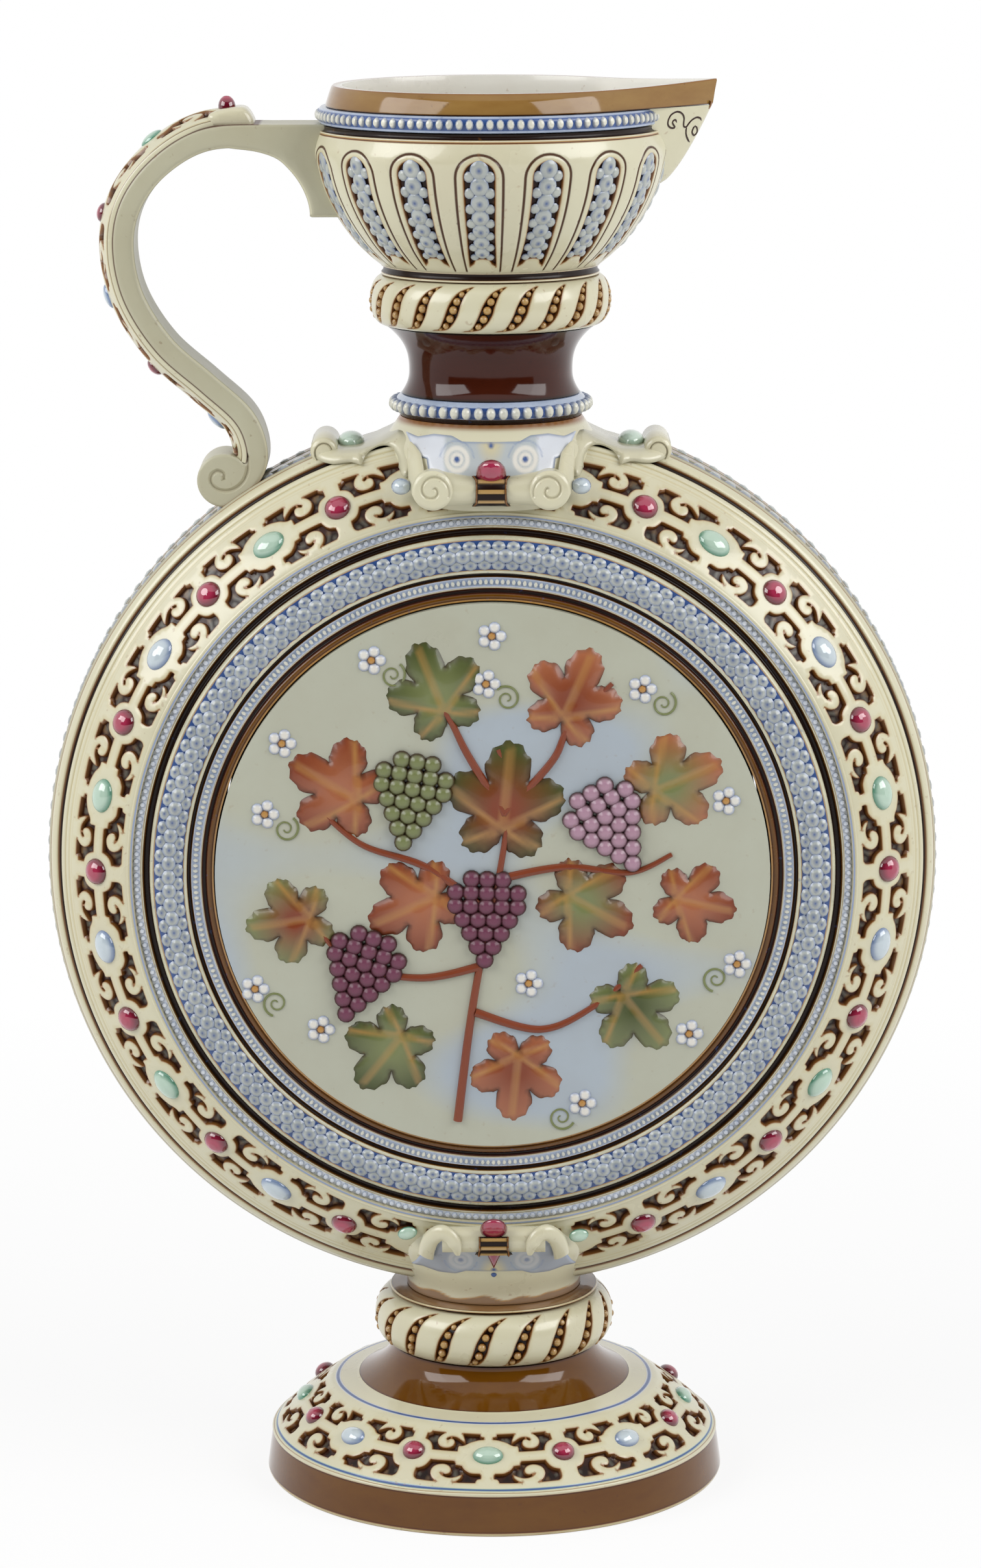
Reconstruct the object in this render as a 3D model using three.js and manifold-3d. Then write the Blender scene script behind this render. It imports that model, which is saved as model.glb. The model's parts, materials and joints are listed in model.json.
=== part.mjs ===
import * as THREE from 'three';
import { mergeVertices } from 'three/addons/utils/BufferGeometryUtils.js';
import Module from 'manifold-3d';

// A stoneware wine jug of pilgrim-flask form, in millimetres, +Z up.
// The origin is the middle of the foot's underside, the painted front faces -Y,
// the handle stands on the -X side and the spout points to +X.
// The potter's pieces are moulded one by one and luted together, so each is its own solid.

const wasm = await Module();
wasm.setup();

// Clearance left by the slip between two luted pieces.
const luting = 0.3;
// Bore that the mouth, the neck and the top of the flask share.
const boreRadius = 21;
// Steps round the standing pieces, and round the flask.
const turns = 32;
const flaskTurns = 40;

// Foot: a plinth, an ornamented slope and a waisted stem, hollow from below.
const footRadius = 79.3;
const plinthHeight = 14;
const plinthTopRadius = 77.5;
const slopeHeight = 17;
const slopeTopRadius = 57;
const slopeBulge = 1.2;
const stepWidth = 2;
const stemHeight = 14.3;
const stemBaseRadius = 47.5;
const stemTopRadius = 36;
const footWall = 7.5;
const footBoreRadius = 24;

// Gadrooned knop on the foot, and the saucer above it.
const footKnopHeight = 18.3;
const footKnopRadius = 41.4;
const footKnopEndRadius = 34.5;
const saucerHeight = 1.5;
const saucerRadius = 36.1;
const saucerSeatRadius = 31.5;

// Flask: two moulded pans closed by a rim band, each with a framed medallion.
const flaskRadius = 152;
const rimBandThickness = 2;
const rimBandHalfWidth = 10;
const rimCrown = 1.2;
const shoulderRadius = 121;
const shoulderDepth = 38.4;
const shoulderBend = 1.4;
const shoulderFall = 0.9;
const flaskWall = 7;
const frameBedding = 2.9;
const frameRise = 2.8;
const frameInnerRadius = 93.2;
const medallionBedding = 0.9;
const medallionRise = 4.2;
const medallionDome = 2.2;

// Lower saddle: the collar that carries the flask on the saucer.
const lowerCollarRadius = 30.2;
const lowerSaddleFloor = 0.6;
const lowerSaddleHeight = 37;
const lowerSaddleProud = 4.1;

// Upper saddle: the shoulder piece with its arms, from the flask up to the neck.
const upperCollarRadius = 30.6;
const upperSaddleSink = 1.3;
const upperSaddleHeight = 27;
const upperSaddleProud = 3.6;
const armThickness = 4;
const armBedding = 5;
const armReach = 61.6;
const armVoluteRadius = 4.9;
const armVoluteDrop = 10.4;
const armVoluteHalfWidth = 19;

// Scrolled bolsters on both saddles, their clasps and their round jewels.
const bolsterRadius = 6.2;
const bolsterVoluteRadius = 8;
const bolsterVoluteSpacing = 35;
const bolsterVoluteHeight = 5.5;
const upperBolsterDrop = 21.9;
const lowerBolsterRise = 27.2;
const bolsterVoluteShift = 1.2;
const claspWidth = 14;
const claspThickness = 1;
const jewelRadius = 4.3;
const upperJewelRise = 8.2;
const upperJewelProud = 1;
const lowerJewelRise = 5.8;
const lowerJewelProud = 5;
const beadRadius = 3.6;

// Neck, from the beaded collar to the upper knop.
const collarHeight = 7.1;
const collarRadius = 32.8;
const collarEndRadius = 30.6;
const neckHeight = 22.8;
const neckWaistRadius = 27.5;
const neckWaistRise = 7;
const neckTopRadius = 35.4;
const neckBottomRadius = 30;
const neckKnopHeight = 16.6;
const neckKnopRadius = 40.5;
const neckKnopEndRadius = 35.6;

// Mouth: the panelled bowl, its beaded band and the lip with its spout.
const bowlHeight = 49.9;
const bowlRadius = 59;
const bowlRootRadius = 36.6;
const bowlTopRadius = 56.4;
const bowlWall = 6.5;
const bandHeight = 5.4;
const bandRadius = 57.4;
const lipHeight = 6.8;
const lipBaseRadius = 54.8;
const lipTopRadius = 52.6;
const lipWall = 3.6;
const spoutReach = 75.8;
const spoutOverhang = 1.6;
const spoutRise = 1.6;
const troughDepth = 13;
const apronDrop = 26;
const apronReach = 74;
const apronRootWidth = 40;
const apronTopWidth = 68;
const apronKeel = 1.6;

// Handle: a flat-sided scroll from the bowl to the flask's rim, with a jewelled strap.
const handleWidth = 23;
const handleInnerWidth = 19;
const handleThickness = 7;
const handleRootThickness = 8.3;
const handleFace = 4.15;
const handleBevel = 0.5;
const handleReach = 121.6;
const handleDrop = 16.2;
const handleSlot = 27;
const voluteRadius = 9.6;
const voluteAngle = THREE.MathUtils.degToRad(124.2);
const voluteSink = 3;
const strapEdge = 1.2;
const strapCrown = 5;
const strapWidth = 22;
const handleSteps = 40;
const strapFirstStep = 8;
const strapLastStep = 36;
const bossLength = 14;
const bossHeight = 5.8;
const bossWidth = 17;

// Heights of the joints, worked up from the floor.
const slopeTop = plinthHeight + slopeHeight;
const footTop = slopeTop + stemHeight;
const footKnopBottom = footTop + luting;
const footKnopTop = footKnopBottom + footKnopHeight;
const saucerBottom = footKnopTop + luting;
const saucerTop = saucerBottom + saucerHeight;
const lowerSaddleBottom = saucerTop + luting;
const flaskBottom = lowerSaddleBottom + lowerSaddleFloor + luting;
const flaskCentre = flaskBottom + flaskRadius;
const flaskTop = flaskCentre + flaskRadius;
const upperSaddleTop = flaskTop - upperSaddleSink;
const collarBottom = upperSaddleTop + luting;
const collarTop = collarBottom + collarHeight;
const neckBottom = collarTop + luting;
const neckTop = neckBottom + neckHeight;
const neckKnopBottom = neckTop + luting;
const neckKnopTop = neckKnopBottom + neckKnopHeight;
const bowlBottom = neckKnopTop + luting;
const bowlTop = bowlBottom + bowlHeight;
const bandBottom = bowlTop + luting;
const bandTop = bandBottom + bandHeight;
const lipBottom = bandTop + luting;
const lipTop = lipBottom + lipHeight;
const handleTop = lipTop - handleDrop;
const upperBolsterHeight = upperSaddleTop - upperBolsterDrop;
const lowerBolsterHeight = lowerSaddleBottom + lowerBolsterRise;

// Depths from the middle of the flask, worked out from its shoulder ring.
const frameSeatDepth = shoulderDepth - frameBedding;
const frameCrest = shoulderDepth + frameRise;
const medallionSeatDepth = shoulderDepth - medallionBedding;
const medallionEdgeDepth = shoulderDepth + medallionRise;
const lowerSaddleDepth = shoulderDepth + lowerSaddleProud;
const upperSaddleDepth = shoulderDepth + upperSaddleProud;

// The handle's volute rests on the flask's rim, left of the neck.
const voluteDistance = flaskRadius + voluteRadius - voluteSink;
const voluteCentre = new THREE.Vector2(
  voluteDistance * Math.cos(voluteAngle),
  flaskCentre + voluteDistance * Math.sin(voluteAngle),
);

// Glazes and coloured clays.
const glaze = (color, roughness) => new THREE.MeshStandardMaterial({ color, roughness, metalness: 0 });
const creamGlaze = glaze(0xdedcc4, 0.38);
const stoneGlaze = glaze(0xbdbba0, 0.5);
const brownGlaze = glaze(0x5a3014, 0.15);
const taupeGlaze = glaze(0x8a6a48, 0.15);
const blueGlaze = glaze(0x8fa3c8, 0.35);
const medallionClay = glaze(0xbfc3b4, 0.55);
const redEnamel = glaze(0xa63a55, 0.15);
const greenEnamel = glaze(0xa9cdb5, 0.15);
const goldEnamel = glaze(0xc9a86a, 0.35);

// A closed mesh as a solid: corners shared, slivers at the poles dropped, faces turned outwards.
function solidFrom(geometry) {
  const bare = geometry.clone();
  bare.deleteAttribute('normal');
  bare.deleteAttribute('uv');
  const merged = mergeVertices(bare, 1e-4);
  const corners = Float32Array.from(merged.attributes.position.array);
  const faces = [];
  const corner = (k) => new THREE.Vector3().fromArray(corners, 3 * k);
  let volume = 0;
  for (let i = 0; i < merged.index.count; i += 3) {
    const [p, q, r] = [0, 1, 2].map((k) => merged.index.getX(i + k));
    if (p === q || q === r || r === p) {
      continue;
    }
    faces.push(p, q, r);
    volume += corner(p).dot(corner(q).cross(corner(r)));
  }
  if (volume < 0) {
    faces.reverse();
  }
  const triVerts = Uint32Array.from(faces);
  return new wasm.Manifold(new wasm.Mesh({ numProp: 3, vertProperties: corners, triVerts }));
}

// A turned solid about the Z axis; the outline is a list of [radius, height].
// An outline that leaves the axis alone closes on its own first point.
function turned(outline, steps = turns) {
  const points = outline.map(([radius, height]) => new THREE.Vector2(Math.max(radius, 0), height));
  const onAxis = points[0].x === 0 && points[points.length - 1].x === 0;
  if (!onAxis) {
    points.push(points[0].clone());
  }
  return solidFrom(new THREE.LatheGeometry(points, steps).rotateX(Math.PI / 2));
}

// A solid turned about the flask's own axis; the outline is a list of [radius, depth],
// where depth runs forward from the middle of the flask.
function flaskTurned(outline) {
  return turned(outline, flaskTurns).rotate([90, 0, 0]).translate([0, 0, flaskCentre]);
}

// A closed skin through loops that all have the same number of points, with a fan at each end.
function lofted(loops) {
  const count = loops[0].length;
  const positions = [];
  const index = [];
  for (const loop of loops) {
    loop.forEach((point) => positions.push(point.x, point.y, point.z));
  }
  for (let i = 0; i + 1 < loops.length; i += 1) {
    for (let j = 0; j < count; j += 1) {
      const here = i * count + j;
      const next = i * count + ((j + 1) % count);
      index.push(here, next, next + count, here, next + count, here + count);
    }
  }
  const ends = [[loops[0], 0, true], [loops[loops.length - 1], (loops.length - 1) * count, false]];
  for (const [loop, start, first] of ends) {
    const middle = new THREE.Vector3();
    loop.forEach((point) => middle.addScaledVector(point, 1 / count));
    const hub = positions.length / 3;
    positions.push(middle.x, middle.y, middle.z);
    for (let j = 0; j < count; j += 1) {
      const here = start + j;
      const next = start + ((j + 1) % count);
      index.push(...(first ? [hub, next, here] : [hub, here, next]));
    }
  }
  const geometry = new THREE.BufferGeometry();
  geometry.setAttribute('position', new THREE.Float32BufferAttribute(positions, 3));
  geometry.setIndex(index);
  return solidFrom(geometry);
}

// A level loop with rounded corners: an ellipse whose power above 2 squares it up.
function levelLoop(reachX, reachY, height, power = 2, steps = turns) {
  const loop = [];
  for (let i = 0; i < steps; i += 1) {
    const angle = (i / steps) * 2 * Math.PI;
    const cos = Math.cos(angle);
    const sin = Math.sin(angle);
    const x = Math.sign(cos) * Math.abs(cos) ** (2 / power);
    const y = Math.sign(sin) * Math.abs(sin) ** (2 / power);
    loop.push(new THREE.Vector3(reachX * x, reachY * y, height));
  }
  return loop;
}

// An upright slab: an outline in X and Z carried along Y, from yStart to yEnd.
function slab(outline, yStart, yEnd) {
  const shape = new THREE.Shape(outline.map(([x, z]) => new THREE.Vector2(x, z)));
  const geometry = new THREE.ExtrudeGeometry(shape, { depth: yEnd - yStart, bevelEnabled: false });
  return solidFrom(geometry.rotateX(Math.PI / 2).translate(0, yEnd, 0));
}

// A round rod along Y.
function rodAlongY(x, z, radius, yStart, yEnd, steps = 24) {
  const rod = new THREE.CylinderGeometry(radius, radius, yEnd - yStart, steps);
  return solidFrom(rod.translate(x, (yStart + yEnd) / 2, z));
}

// A round plug along Z.
function plug(radius, zStart, zEnd) {
  return turned([[0, zStart], [radius, zStart], [radius, zEnd], [0, zEnd]]);
}

// A rectangular block given by its lowest and highest corners.
function block(low, high) {
  const size = high.map((value, i) => value - low[i]);
  const middle = high.map((value, i) => (value + low[i]) / 2);
  return solidFrom(new THREE.BoxGeometry(...size).translate(...middle));
}

// A ball seated on what carries it.
function ball(radius, x, y, z) {
  return solidFrom(new THREE.SphereGeometry(radius, 12, 8).translate(x, y, z));
}

// The solid turned half a turn about Z, for the piece on the other side of the jug.
function faced(solid, back) {
  return back ? solid.rotate([0, 0, 180]) : solid;
}

// The outside of a knop, as an outline from its lower edge to its upper one.
function knopSide(bottom, height, endRadius, radius, steps = 6) {
  const side = [];
  for (let i = 0; i <= steps; i += 1) {
    const across = (2 * i) / steps - 1;
    const swell = Math.sqrt(Math.max(0, 1 - Math.abs(across) ** 2.2));
    side.push([endRadius + (radius - endRadius) * swell, bottom + (height * i) / steps]);
  }
  return side;
}

// Foot: the outside runs up the plinth, the slope and the stem, and the hollow comes down again.
function footSolid() {
  const outside = [[footRadius - 0.8, 0], [footRadius, 0.8], [plinthTopRadius, plinthHeight]];
  for (const part of [0.5, 1]) {
    const radius = plinthTopRadius + (slopeTopRadius - plinthTopRadius) * part;
    outside.push([radius + slopeBulge * Math.sin(Math.PI * part), plinthHeight + slopeHeight * part]);
  }
  outside.push([slopeTopRadius - stepWidth, slopeTop + 0.6], [stemBaseRadius, slopeTop + stepWidth]);
  for (const part of [0.35, 0.7, 1]) {
    const waist = stemTopRadius + (stemBaseRadius - stemTopRadius) * (1 - part) ** 2.2;
    outside.push([waist, slopeTop + stepWidth + (stemHeight - stepWidth) * part]);
  }
  const inside = [
    [footBoreRadius, footTop],
    [footBoreRadius, slopeTop],
    [stemBaseRadius - footWall, slopeTop - footWall / 2],
    [plinthTopRadius - footWall - 1, plinthHeight - footWall / 2],
    [footRadius - footWall, 0],
  ];
  return turned([...outside, ...inside]);
}

// A knop with the bore that the foot or the neck needs.
function knopSolid(bottom, height, endRadius, radius, bore) {
  return turned([...knopSide(bottom, height, endRadius, radius), [bore, bottom + height], [bore, bottom]]);
}

function saucerSolid() {
  return turned([
    [0, saucerBottom],
    [footKnopEndRadius - 0.5, saucerBottom],
    [saucerRadius, saucerBottom + 0.35 * saucerHeight],
    [saucerRadius - 0.3, saucerBottom + 0.7 * saucerHeight],
    [saucerSeatRadius + 1, saucerTop],
    [0, saucerTop],
  ]);
}

// Depth of the flask's shoulder at a radius: full at the shoulder ring, falling to the rim.
function shoulderAt(radius) {
  const part = (radius - shoulderRadius) / (flaskRadius - shoulderRadius);
  return rimBandHalfWidth + (shoulderDepth - rimBandHalfWidth) * (1 - part ** shoulderBend) ** shoulderFall;
}

// The flask's outer skin as an outline, from the rim to the shoulder ring, grown by an allowance.
function shoulderOutline(grow, steps = 7) {
  const outline = [];
  for (let i = 0; i <= steps; i += 1) {
    const radius = flaskRadius + (shoulderRadius - flaskRadius) * (i / steps) ** 1.3;
    outline.push([radius + grow * (1 - i / steps), shoulderAt(radius) + grow]);
  }
  return outline;
}

// The whole flask with its frame and medallion as one plain body, for cutting seats.
function flaskBody(grow) {
  const front = shoulderOutline(grow);
  const crest = frameCrest + grow;
  const face = [[frameInnerRadius, crest], [0, medallionEdgeDepth + medallionDome + grow]];
  const half = [...front, ...face];
  const back = [...half].reverse().map(([radius, depth]) => [radius, -depth]);
  return flaskTurned([...back, [flaskRadius + rimCrown + grow, 0], ...half]);
}

// One pan of the flask: the rim step, the shoulder, the seats of frame and medallion, and the hollow.
function panSolid() {
  const seam = luting / 2;
  const bandSeat = flaskRadius - rimBandThickness - luting;
  const hollow = [];
  for (const part of [0, 0.3, 0.65, 1]) {
    const radius = bandSeat - flaskWall + (shoulderRadius - bandSeat) * part;
    hollow.push([radius, seam + (frameSeatDepth - flaskWall - seam) * Math.sin((part * Math.PI) / 2)]);
  }
  const outline = [
    [0, medallionSeatDepth - flaskWall],
    [frameInnerRadius - flaskWall, medallionSeatDepth - flaskWall],
    ...hollow.reverse(),
    [bandSeat, seam],
    [bandSeat, rimBandHalfWidth + luting],
    ...shoulderOutline(0).slice(1),
    [shoulderRadius, frameSeatDepth],
    [frameInnerRadius - luting, frameSeatDepth],
    [frameInnerRadius - luting, medallionSeatDepth],
    [0, medallionSeatDepth],
  ];
  return flaskTurned(outline);
}

function rimBandSolid() {
  const seat = flaskRadius - rimBandThickness;
  return flaskTurned([
    [seat, -rimBandHalfWidth],
    [flaskRadius - rimCrown, -rimBandHalfWidth],
    [flaskRadius - 0.25 * rimCrown, -0.5 * rimBandHalfWidth],
    [flaskRadius, 0],
    [flaskRadius - 0.25 * rimCrown, 0.5 * rimBandHalfWidth],
    [flaskRadius - rimCrown, rimBandHalfWidth],
    [seat, rimBandHalfWidth],
  ]);
}

// The moulded frame between the shoulder and the medallion: beads, groove, scales and beads.
function frameSolid() {
  const seat = frameSeatDepth + luting;
  const inner = frameInnerRadius;
  const outer = shoulderRadius - luting;
  const width = outer - inner;
  return flaskTurned([
    [inner, seat],
    [inner, frameCrest - 0.4],
    [inner + 0.25 * width, frameCrest - 0.6],
    [inner + 0.37 * width, frameCrest - 1.6],
    [inner + 0.6 * width, frameCrest],
    [inner + 0.8 * width, frameCrest - 4],
    [inner + 0.92 * width, frameCrest - 3.4],
    [outer, frameCrest - 4.2],
    [outer, seat],
  ]);
}

function medallionSolid() {
  const radius = frameInnerRadius - 2 * luting;
  const seat = medallionSeatDepth + luting;
  return flaskTurned([
    [0, seat],
    [radius, seat],
    [radius, medallionEdgeDepth],
    [0.6 * radius, medallionEdgeDepth + 0.64 * medallionDome],
    [0, medallionEdgeDepth + medallionDome],
  ]);
}

// Lower saddle: a round collar that spreads and climbs the flask, cut to the flask's skin.
function lowerSaddleSolid(flaskSeat) {
  const rise = lowerSaddleHeight;
  const loops = [
    levelLoop(lowerCollarRadius, lowerCollarRadius, lowerSaddleBottom),
    levelLoop(lowerCollarRadius + 0.3, lowerCollarRadius + 0.3, lowerSaddleBottom + 0.12 * rise),
    levelLoop(lowerCollarRadius + 3, lowerCollarRadius + 4, lowerSaddleBottom + 0.3 * rise, 2.2),
    levelLoop(lowerCollarRadius + 8, lowerSaddleDepth - 3, lowerSaddleBottom + 0.55 * rise, 2.4),
    levelLoop(lowerCollarRadius + 3, lowerSaddleDepth, lowerSaddleBottom + 0.75 * rise, 2.6),
    levelLoop(lowerCollarRadius - 8, lowerSaddleDepth, lowerSaddleBottom + rise, 2.6),
  ];
  return lofted(loops).subtract(flaskSeat);
}

// The arms' upper edge on one side, from the collar down to the volute, across as parts of the reach.
function armTopEdge(side) {
  const edge = [
    [0.487, 0], [0.511, -3.6], [0.552, -5.4], [0.633, -7.9], [0.714, -9.4], [0.812, -9.8], [0.877, -9],
  ];
  return edge.map(([part, z]) => [side * part * armReach, upperSaddleTop + z]);
}

// The arms' outline on one side: the upper edge, then the cusped lower edge back to the middle.
function armOutline(side) {
  const lower = [
    [0.974, -15], [0.925, -14], [0.856, -14.8], [0.763, -14], [0.698, -14.8], [0.675, -11.5],
    [0.606, -9.2], [0.542, -9.2], [0.503, -12], [0.487, -19], [0, -19],
  ].map(([part, z]) => [side * part * armReach, upperSaddleTop + z]);
  const outline = [[0, upperSaddleTop], ...armTopEdge(side), ...lower];
  return side < 0 ? outline.reverse() : outline;
}

// The room above the flask's shoulders that the arms need: all that lies over their lower skin.
function roofSolid(lift) {
  const sides = [1, -1].map((side) => armTopEdge(side).map(([x, z]) => [x, z - armBedding + lift]));
  const [right, left] = sides;
  const corner = armReach - armThickness;
  const rimAtCorner = flaskCentre + Math.sqrt(flaskRadius ** 2 - corner ** 2) + lift;
  const high = flaskTop + armThickness * 5;
  return slab([
    ...left.reverse().slice(1), ...right.slice(0, -1), [corner, rimAtCorner], [corner, high],
    [-corner, high], [-corner, rimAtCorner],
  ], -upperSaddleDepth, upperSaddleDepth);
}

// Upper saddle: a coned shoulder under the neck, with arms that hug the rim and end in volutes.
function upperSaddleSolid(flaskSeat, flaskGrown, bore) {
  const drop = upperSaddleHeight;
  const top = upperSaddleTop;
  const cone = lofted([
    levelLoop(upperCollarRadius, upperCollarRadius, top),
    levelLoop(upperCollarRadius + 3, upperCollarRadius + 2.5, top - 0.17 * drop, 2.1),
    levelLoop(upperCollarRadius + 6, upperCollarRadius + 6, top - 0.36 * drop, 2.3),
    levelLoop(upperCollarRadius + 4, upperSaddleDepth - 1.5, top - 0.58 * drop, 2.5),
    levelLoop(upperCollarRadius, upperSaddleDepth, top - 0.8 * drop, 2.6),
    levelLoop(upperCollarRadius - 5, upperSaddleDepth, top - drop, 2.6),
  ]);
  const outer = slab([...armOutline(1), ...armOutline(-1)], -upperSaddleDepth, upperSaddleDepth);
  let saddle = cone.add(outer.intersect(flaskGrown));
  for (const side of [-1, 1]) {
    const x = side * (armReach - armVoluteRadius);
    const z = upperSaddleTop - armVoluteDrop;
    saddle = saddle.add(rodAlongY(x, z, armVoluteRadius, -armVoluteHalfWidth, armVoluteHalfWidth));
  }
  return saddle.subtract(flaskSeat.subtract(roofSolid(luting))).subtract(bore);
}

// Everything in front of a bolster's seat, for trimming what is luted on it.
function beforeSeat(height, depth, reach) {
  const wide = 2 * reach;
  return block([-wide, -depth - wide, height - wide], [wide, -depth - luting, height + wide]);
}

// A rod along X at a bolster's place.
function rollAt(height, depth, radius, half) {
  const rod = turned([[0, -half], [radius, -half], [radius, half], [0, half]], 20);
  return rod.rotate([0, 90, 0]).translate([0, -depth - luting, height]);
}

// A bolster: a roll between two scroll ends, flat where it is luted to its saddle.
function bolsterSolid(height, depth, shift) {
  const half = bolsterVoluteSpacing / 2;
  let bolster = rollAt(height, depth, bolsterRadius, half);
  for (const side of [-1, 1]) {
    const front = -depth - bolsterVoluteHeight;
    const scroll = rodAlongY(side * half, height + shift, bolsterVoluteRadius, front, -depth, 20);
    bolster = bolster.add(scroll);
  }
  return bolster.intersect(beforeSeat(height, depth, bolsterVoluteSpacing));
}

// A clasp: a half ring round the bolster, luted over it.
function claspSolid(height, depth) {
  const inner = bolsterRadius + luting;
  const half = claspWidth / 2;
  const outside = rollAt(height, depth, inner + claspThickness, half);
  const inside = rollAt(height, depth, inner, claspWidth);
  return outside.subtract(inside).intersect(beforeSeat(height, depth, claspWidth));
}

// A jewel: a ball bedded over the clasp, this far above the roll's middle and proud of its seat.
function jewelSolid(height, depth, rise, proud) {
  const room = rollAt(height, depth, bolsterRadius + claspThickness + 2 * luting, bolsterVoluteSpacing);
  const whole = ball(jewelRadius, 0, -depth - luting - proud, height + rise);
  return whole.intersect(beforeSeat(height, depth, claspWidth)).subtract(room);
}

// Beaded collar at the foot of the neck.
function collarSolid() {
  return turned([
    [boreRadius, collarBottom],
    [collarEndRadius, collarBottom],
    [collarRadius, collarBottom + 0.4 * collarHeight],
    [collarRadius, collarBottom + 0.65 * collarHeight],
    [collarEndRadius - 0.5, collarTop],
    [boreRadius, collarTop],
  ]);
}

// Waisted neck: the radius grows from the waist by the square below it and faster above it.
function neckSolid() {
  const side = [];
  for (const rise of [0, 0.5, 1]) {
    side.push([
      neckWaistRadius + (neckBottomRadius - neckWaistRadius) * (1 - rise) ** 2,
      neckBottom + neckWaistRise * rise,
    ]);
  }
  for (const rise of [0.3, 0.55, 0.8, 1]) {
    side.push([
      neckWaistRadius + (neckTopRadius - neckWaistRadius) * rise ** 2.7,
      neckBottom + neckWaistRise + (neckHeight - neckWaistRise) * rise,
    ]);
  }
  return turned([[boreRadius, neckBottom], ...side, [boreRadius, neckTop]]);
}

// The bowl's outside: a short groove, then a full curve to the widest place and in again to the band.
function bowlSide(grow) {
  const swell = bowlRadius - bowlRootRadius;
  const foot = bowlRootRadius + grow;
  const curve = new THREE.SplineCurve([
    [0, 0.06], [0.19, 0.13], [0.43, 0.24], [0.68, 0.4], [0.87, 0.57], [0.98, 0.74], [1, 0.85],
    [(bowlTopRadius - bowlRootRadius) / swell, 1],
  ].map(([out, up]) => new THREE.Vector2(foot + swell * out, bowlBottom + bowlHeight * up)));
  return [[foot, bowlBottom], ...curve.getPoints(9).map((point) => [point.x, point.y])];
}

function bowlSolid() {
  const outside = bowlSide(0);
  const inside = [
    [bowlTopRadius - bowlWall, bowlTop],
    [bowlRadius - bowlWall - 0.5, bowlBottom + 0.8 * bowlHeight],
    [bowlRadius - bowlWall - 5, bowlBottom + 0.6 * bowlHeight],
    [bowlRadius - bowlWall - 15, bowlBottom + 0.36 * bowlHeight],
    [boreRadius + 4, bowlBottom + 0.12 * bowlHeight],
    [boreRadius, bowlBottom],
  ];
  return turned([...outside, ...inside]);
}

function bandSolid() {
  const inside = bowlTopRadius - bowlWall;
  return turned([
    [inside, bandBottom],
    [bandRadius - 0.8, bandBottom],
    [bandRadius, bandBottom + 0.3 * bandHeight],
    [bandRadius, bandBottom + 0.8 * bandHeight],
    [bandRadius - 1.2, bandTop],
    [inside, bandTop],
  ]);
}

// A level loop shaped like a drop: a circle whose +X side runs by two tangents to the spout's tip.
function dropLoop(radius, reach, height, tipLift = 0, steps = turns) {
  const tangent = Math.acos(radius / Math.max(reach, radius * 1.001));
  const loop = [];
  for (let i = 0; i < steps; i += 1) {
    const angle = (i / steps) * 2 * Math.PI;
    const turn = Math.abs(Math.atan2(Math.sin(angle), Math.cos(angle)));
    const stretch = turn < tangent ? 1 / Math.cos(tangent - turn) : 1;
    const out = radius * stretch;
    const lift = tipLift * Math.max(0, (out - radius) / (reach - radius));
    loop.push(new THREE.Vector3(out * Math.cos(angle), out * Math.sin(angle), height + lift));
  }
  return loop;
}

// The trough of the spout: a tapering channel from the mouth's hollow out to the tip.
function troughSolid() {
  const root = 0.72 * (lipTopRadius - lipWall);
  const tip = spoutReach - 1.5;
  const above = lipTop + 4 * spoutRise;
  const shoulder = lipTop - 1;
  const loops = [0, 0.3, 0.6, 0.85, 1].map((part) => {
    const x = root + (tip - root) * part;
    const half = root * (1 - part) + 0.8;
    const depth = troughDepth * (1 - part) + 0.4;
    const section = [[half, above], [half, shoulder]];
    for (const angle of [30, 60, 90, 120, 150]) {
      const bend = THREE.MathUtils.degToRad(angle);
      section.push([half * Math.cos(bend), shoulder - depth * Math.sin(bend)]);
    }
    section.push([-half, shoulder], [-half, above]);
    return section.map(([y, z]) => new THREE.Vector3(x, y, z));
  });
  return lofted(loops);
}

// Lip ring drawn out to the spout, with the trough cut through it.
function lipSolid(trough) {
  const outer = lofted([
    dropLoop(lipBaseRadius, spoutReach - spoutOverhang, lipBottom),
    dropLoop(lipTopRadius, spoutReach, lipTop, spoutRise),
  ]);
  const hollow = plug(lipTopRadius - lipWall, lipBottom - 1, lipTop + 1);
  return outer.subtract(hollow).subtract(trough);
}

// Apron: the keel under the spout, a wedge against the bowl and its band.
function apronSolid(trough) {
  const inside = 0.62 * bowlRadius;
  const start = bowlRadius - 2;
  const loops = [0, 0.25, 0.5, 0.75, 1].map((part) => {
    const reach = start + (apronReach - start) * part ** 0.72;
    const root = apronRootWidth / 2 + (apronTopWidth - apronRootWidth) / 2 * part;
    const height = lipBottom - luting - apronDrop * (1 - part);
    return [
      [inside, -root],
      [reach - apronKeel, -apronKeel],
      [reach, 0],
      [reach - apronKeel, apronKeel],
      [inside, root],
    ].map(([x, y]) => new THREE.Vector3(x, y, height));
  });
  const bowlGrown = turned([
    [0, bowlBottom],
    ...bowlSide(luting),
    [bandRadius + luting, bandBottom - luting],
    [bandRadius + luting, lipBottom + 1],
    [0, lipBottom + 1],
  ]);
  return lofted(loops).subtract(bowlGrown).subtract(trough);
}

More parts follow.
